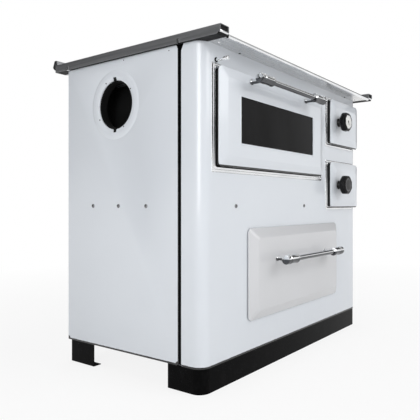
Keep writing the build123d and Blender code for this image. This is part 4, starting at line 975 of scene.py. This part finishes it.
# The needle points down to the right: its half widths from tail to tip and back, then its hub.
NEEDLE_TURN, NEEDLE_HEIGHTS = math.radians(-65.0), (1.9, 1.3)
along = Vector((math.cos(NEEDLE_TURN), math.sin(NEEDLE_TURN)))
aside = Vector((-along.y, along.x))
dial_middle, seat = dial
needle = []
for reach, half in ((-5.0, 1.2), (3.0, 1.3), (13.0, 0.35), (13.0, -0.35), (3.0, -1.3), (-5.0, -1.2)):
    needle.append(tuple(Vector(dial_middle) + along * reach + aside * half))
shape = Shape().skin([upright(needle, seat - height) for height in NEEDLE_HEIGHTS])
seated(shape, dial, [(3.0, 1.3), (3.0, 2.3), (0.2, 2.5)], [0.6], around=24)
finished("dial_needle", shape.mesh(), knob_black, "fire_dial")
MARKS, MARKS_IN_TURN, MARK_RADIUS, MARK_HEIGHT = 19, 24, 17.6, 1.12
marks = circle("y", dial_middle, seat - MARK_HEIGHT, MARK_RADIUS, MARKS_IN_TURN, -45.0)[:MARKS]
set_on("dial_marks", head_mesh(0.55, 0.12), "front", marks, knob_black, "fire_dial")

x, _, z = spans("ash_knob_cap")
place = (middle(x), middle(z)), ash_seat
cap = [(23.6, 0.0), (23.6, 1.3), (21.4, 1.5), (21.0, 1.0), (20.4, 1.5), (0.2, 1.7)]
cap = seated(Shape(), place, cap, [0.3, 0.2, 0.2, 0.2])
finished("knob_cap", cap.mesh(25), cap_grey, "ash_knob_cap", True)
ring = [(21.5, 1.2), (21.5, 1.9), (19.9, 1.9), (19.9, 1.2)]
ring = seated(Shape(), place, ring, [0.4, 0.4], 2, closed=True)
finished("knob_cap_ring", ring.mesh(), screw_steel, "ash_knob_cap")

# ======== damper rod

_, (tip, root), _ = spans("damper_rod")
bush_x, _, bush_z = spans("damper_guide")
section = [(3.4, 0.0), (5.0, 0.0), (5.2, 4.0), (4.2, 4.6), (4.2, 6.2), (5.2, 6.8), (5.2, 14.5), (4.0, 17.0)]
grip = [(radius, tip + along) for radius, along in section] + [(4.0, root)]
grip = eased(grip, [1.2, 0.5, 0.3, 0.3, 0.5, 1.0, 1.0], 3)
shape = Shape().turned("y", (bush_x[0] + 6.2, middle(bush_z)), grip, 32)
finished("damper_grip", shape.mesh(28), bright, "damper_rod", True)

# ======== panel screws

PAN = head_mesh(5.2, 2.2, True)
FRONT_SCREWS, SIDE_SCREWS = (130.8, 483.0), (184.5, 287.75, 391.0)
level = middle(spans("panel_screws")[2])
wide = (panel_high.x - panel_low.x) / MM
for facing, points in (
    ("front", [(across, 0.0, level) for across in FRONT_SCREWS]),
    ("left", [(0.0, along, level) for along in SIDE_SCREWS]),
    ("right", [(wide, along, level) for along in SIDE_SCREWS]),
):
    set_on(facing + "_screws", PAN, facing, points, screw_steel, "panel_screws", facing == "front")

# ======== flue hole

# Four small screws, and two notches in the bead, cut from inside the hole to past its edge; in each notch a
# soot-black block is a painted shadow.
FLUE_SCREW_RADIUS, NOTCH_HALF, NOTCH_FROM, HOLE_EDGE, NOTCH_TO = 69.8, 6.0, 40.0, 63.8, 73.0
_, flue_y, flue_z = spans("flue_collar")
flue = flue_across, flue_rise = middle(flue_y), middle(flue_z)
screws = circle("x", flue, -0.6, FLUE_SCREW_RADIUS, 4, 60.0)
set_on("flue_screws", head_mesh(1.9, 1.0), "left", screws, sand_iron, "side_panel_left")
bead = [(94.0, 0.8), (92.0, 0.0), (86.0, -1.5), (77.0, -2.0), (70.0, -0.8), (65.4, 0.6), (64.4, 3.6)]
bead = eased(bead, [1.5, 4.0, 6.0, 5.0, 2.0], 5) + [(65.6, 3.6), (66.6, 1.6), (94.0, 1.6)]
bead = Shape().turned("x", flue, bead, 96, closed=True).mesh(50)
notch_y = grown((flue_across, flue_across), NOTCH_HALF)
notches, shadows = [], Shape()
for way in (1, -1):
    start, edge, end = (flue_rise + way * radius for radius in (NOTCH_FROM, HOLE_EDGE, NOTCH_TO))
    notches.append(Shape().block((-6.0, 6.0), notch_y, sorted((start, end))).mesh())
    shadows.block((0.9, 1.9), notch_y, sorted((edge, end)))
finished("flue_bead", cut(bead, *notches), white, "side_panel_left")
finished("flue_notches", shadows.mesh(), soot, "flue_collar")

# ======== rails and rivets

rail_low = spans("side_rail_left")[2][0]
# A clip's section of (place inward of the rail's face, place above its lower edge), and its half width.
CLIP = [(-0.7, 10.0), (-0.7, -0.7), (8.0, -0.7), (8.0, 0.0), (0.0, 0.0), (0.0, 10.0)]
CLIP_PLACES, CLIP_HALF = (66.0, 492.0), 3.5
for side, edge, way in (("left", 0, 1), ("right", 1, -1)):
    face = spans("side_rail_" + side)[0][edge]
    clip = [(face + way * inward, rail_low + up) for inward, up in CLIP]
    shape = Shape()
    for along in CLIP_PLACES:
        shape.skin([upright(clip, y) for y in grown((along, along), CLIP_HALF)])
    finished("rail_clips_" + side, shape.mesh(30), trim, "side_rail_" + side)

# The rails' open front ends: a soot-black plate in each stands for the black core and for painted shade
# inside the channel, with a bright ridge across it.
END_WIDE = 29.4
end_x, end_y, end_z = spans("rail_caps")
shade_plates, ridges = Shape(), Shape()
for left, right in ((end_x[0], end_x[0] + END_WIDE), (end_x[1] - END_WIDE, end_x[1])):
    shade_plates.block((left, right), (end_y[0] + 2.5, end_y[1]), end_z)
    ridge = eased([(0.3, left), (3.6, left), (3.6, right), (0.3, right)], [0.5, 0.5], 2)
    ridges.turned("x", (end_y[0] + 3.2, end_z[0] + 7.0), ridge, 24)
finished("rail_end_plates", shade_plates.mesh(), soot, "rail_caps", True)
finished("rail_end_ridges", ridges.mesh(), bright, "rail_caps")

# Rivets and studs under the apron, and two small marks high on the left side.
RIVETS, STUDS = (43.0, 248.0, 452.0, 656.0, 840.0), (140.0, 772.0)
rivets = [(across, -15.0, rail_low) for across in RIVETS]
set_on("apron_rivets", head_mesh(3.4, 1.6), "down", rivets, trim, "top_frame")
apron_studs = [(across, -5.0, rail_low) for across in STUDS]
set_on("apron_studs", head_mesh(3.0, 1.2), "down", apron_studs, heat_black, "top_frame")
marks = [(0.0, 105.0, 819.0), (0.0, 268.0, 822.0)]
set_on("side_marks", head_mesh(1.5, 0.3), "left", marks, black, "side_panel_left")

# ======== oven rack and vents

RACK_GAPS, RACK_IN, BAR_SHARE = 20, 2.0, 0.8
x, y, z = spans("oven_rack")
level, radius = middle(z), (z[1] - z[0]) / 2
(left, right), (near, far) = grown(x, -RACK_IN), grown(y, -RACK_IN)
rim = [(left, near, level), (right, near, level), (right, far, level), (left, far, level)]
wire("oven_rack_rim", rim, True, radius, bright, "oven_rack", True)
pitch = (right - left) / RACK_GAPS
bar = [(left + pitch, near, level), (left + pitch, far, level)]
wire("oven_rack_bars", bar, False, radius * BAR_SHARE, bright, "oven_rack", count=RACK_GAPS - 1, step=pitch)

# Two rows of six vent slots, each with a lip of (how far out of the slot's edge, how far off the panel).
slot_x, slot_z = (-4.5, 4.5), (-30.0, 30.0)
ROW_MIDDLE, SLOT_PITCH, ROW_RISES = 440.0, 90.0, (180.0, 360.0)
back_face = spans("back_panel")[1][1]
lip = eased([(0.0, 0.0), (0.2, 0.9), (1.4, 0.9), (2.2, 0.0)], [0.4, 0.6], 3)
outlines = [rectangle(slot_x, slot_z, -out, off, 0.6 + out) for out, off in lip]
lip = Shape(by_itself).skin(outlines, closed=True).mesh()
across = [ROW_MIDDLE + SLOT_PITCH * (n - 2.5) for n in range(6)]
slots = [(x, back_face, rise) for rise in ROW_RISES for x in across]
set_on("back_vent_lips", lip, None, slots, zinc_sheet, "back_panel")

# ======== CAD nodes with eased edges

EDGE_WIDTHS = (
    (0.5, "front_panel side_panel_left side_panel_right plinth rear_feet"),
    (0.4, "corner_posts"),
    (0.6, "side_rail_left side_rail_right"),
    (0.5, "guard_rod"),
    (0.4, "top_frame"),
    (0.3, "rear_upstand"),
    (0.7, "hotplate ring_outer ring_inner centre_lid"),
    (0.8, "oven_door_inner fire_door_inner ash_door_inner"),
    (0.3, "oven_door_glass damper_guide drawer_box"),
    (0.5, "oven_box"),
    (1.2, "firebricks"),
    (1.0, "fire_grate"),
    (0.3, "ash_pan"),
    (0.4, "baking_tray flue_collar fire_latch"),
    (0.3, "air_rosette hinges"),
)
for width, names in EDGE_WIDTHS:
    for name in names.split():
        softened(name, width)

# ======== floor, light and camera

# The floor is lit like any matt ground, and seen by itself it glows white, a little less near the stove.
NEAR_GLOW, FLOOR_REACH = 0.84, 14.0
ground = Finish("floor")
ground.done(rgb(0.86, 0.86, 0.86), 0.9)
glow = ground.node("ShaderNodeEmission", Color=rgb(1.0, 1.0, 1.0), Strength=1.0).outputs[0]
across, along, _ = ground.axes()
away = ((across**2.0 + along**2.0) ** 0.5).between(0.7, 2.4)
seen = ground.light_path("Camera", "Glossy", "Transmission") * (NEAR_GLOW + (1.0 - NEAR_GLOW) * away)
blend = ground.node("ShaderNodeMixShader", None, [seen, ground.shader.outputs[0], glow])
ground.feed(ground.output.inputs["Surface"], blend.outputs[0])

floor_mesh = bpy.data.meshes.new("floor")
corners = [(x * FLOOR_REACH, y * FLOOR_REACH, 0.0) for x, y in ((-1, -1), (1, -1), (1, 1), (-1, 1))]
floor_mesh.from_pydata(corners, [], [(0, 1, 2, 3)])
floor_mesh.materials.append(ground.material)
piece_from(floor_mesh, "floor")


def softbox(name, place, target, size, power, spread=180.0):
    light = bpy.data.lights.new(name, "AREA")
    light.shape = "RECTANGLE"
    light.size, light.size_y = size
    light.energy = power
    light.spread = math.radians(spread)
    lamp = piece_from(light, name)
    lamp.location = place
    lamp.rotation_euler = (Vector(target) - Vector(place)).to_track_quat("-Z", "Y").to_euler()


# Place, target and size in metres, watts, and spread in degrees.
softbox("key", (1.0, -3.4, 2.3), (0.0, -0.2, 0.45), (2.2, 2.2), 46.0)
softbox("fill", (-1.9, -0.9, 1.0), (-0.44, -0.2, 0.6), (1.0, 1.2), 3.4, 75.0)
softbox("top", (0.0, 0.4, 3.4), (0.0, 0.0, 0.8), (3.0, 3.0), 34.0)

# The world lights evenly and is seen white. Polished metal mirrors a dark room in it, between a bright floor
# and a bright ceiling, with one low window.
AMBIENT, ROOM, CEILING = 0.42, 0.07, 0.6
WINDOW_WAY = Vector((0.84, -0.54, 0.0)).normalized()
world = bpy.data.worlds.new("studio")
bpy.context.scene.world = world
world.use_nodes = True
sky = Paint(world.node_tree)
toward = sky.node("ShaderNodeTexCoord").outputs["Generated"]
height = sky.axes(toward)[2]
facing = sky.node("ShaderNodeVectorMath", {"operation": "DOT_PRODUCT"}, [toward, WINDOW_WAY]).outputs["Value"]
window_light = Sig(sky, facing).between(0.9, 0.93) * (1.0 - height.between(0.27, 0.31))
overhead = height.between(0.45, 0.6)
room = height.between(0.0, 0.1) * (1.0 - overhead) * (1.0 - window_light)
mirrored = (1.0 - (1.0 - ROOM) * room) * (1.0 - (1.0 - CEILING) * overhead)
open_view = sky.light_path("Camera", "Transmission")
mirrored_view = sky.light_path("Glossy")
strength = AMBIENT * (1.0 - open_view - mirrored_view) + open_view + mirrored_view * mirrored
backdrop = world.node_tree.nodes["Background"]
sky.feed(backdrop.inputs["Color"], rgb(1.0, 1.0, 1.0))
sky.feed(backdrop.inputs["Strength"], strength)

# The camera: place in millimetres from the body's corner, heading, focal length and middle in pixels.
PICTURE = 420.0
camera_place = at(-882.4, -757.8, 446.8)
camera_heading = 0.5982
focal_pixels = 501.0
picture_middle = (258.0, 204.0)

lens = bpy.data.cameras.new("camera")
lens.sensor_width = 36.0
lens.lens = focal_pixels / PICTURE * lens.sensor_width
lens.shift_x = (PICTURE / 2 - picture_middle[0]) / PICTURE
lens.shift_y = (picture_middle[1] - PICTURE / 2) / PICTURE
camera = piece_from(lens, "camera")
forward = Vector((math.cos(camera_heading), math.sin(camera_heading), 0.0))
right = Vector((forward.y, -forward.x, 0.0))
turned = Matrix((right, Vector((0.0, 0.0, 1.0)), -forward)).transposed()
camera.matrix_world = Matrix.Translation(camera_place) @ turned.to_4x4()
bpy.context.scene.camera = camera
bpy.context.scene.view_settings.view_transform = "Standard"
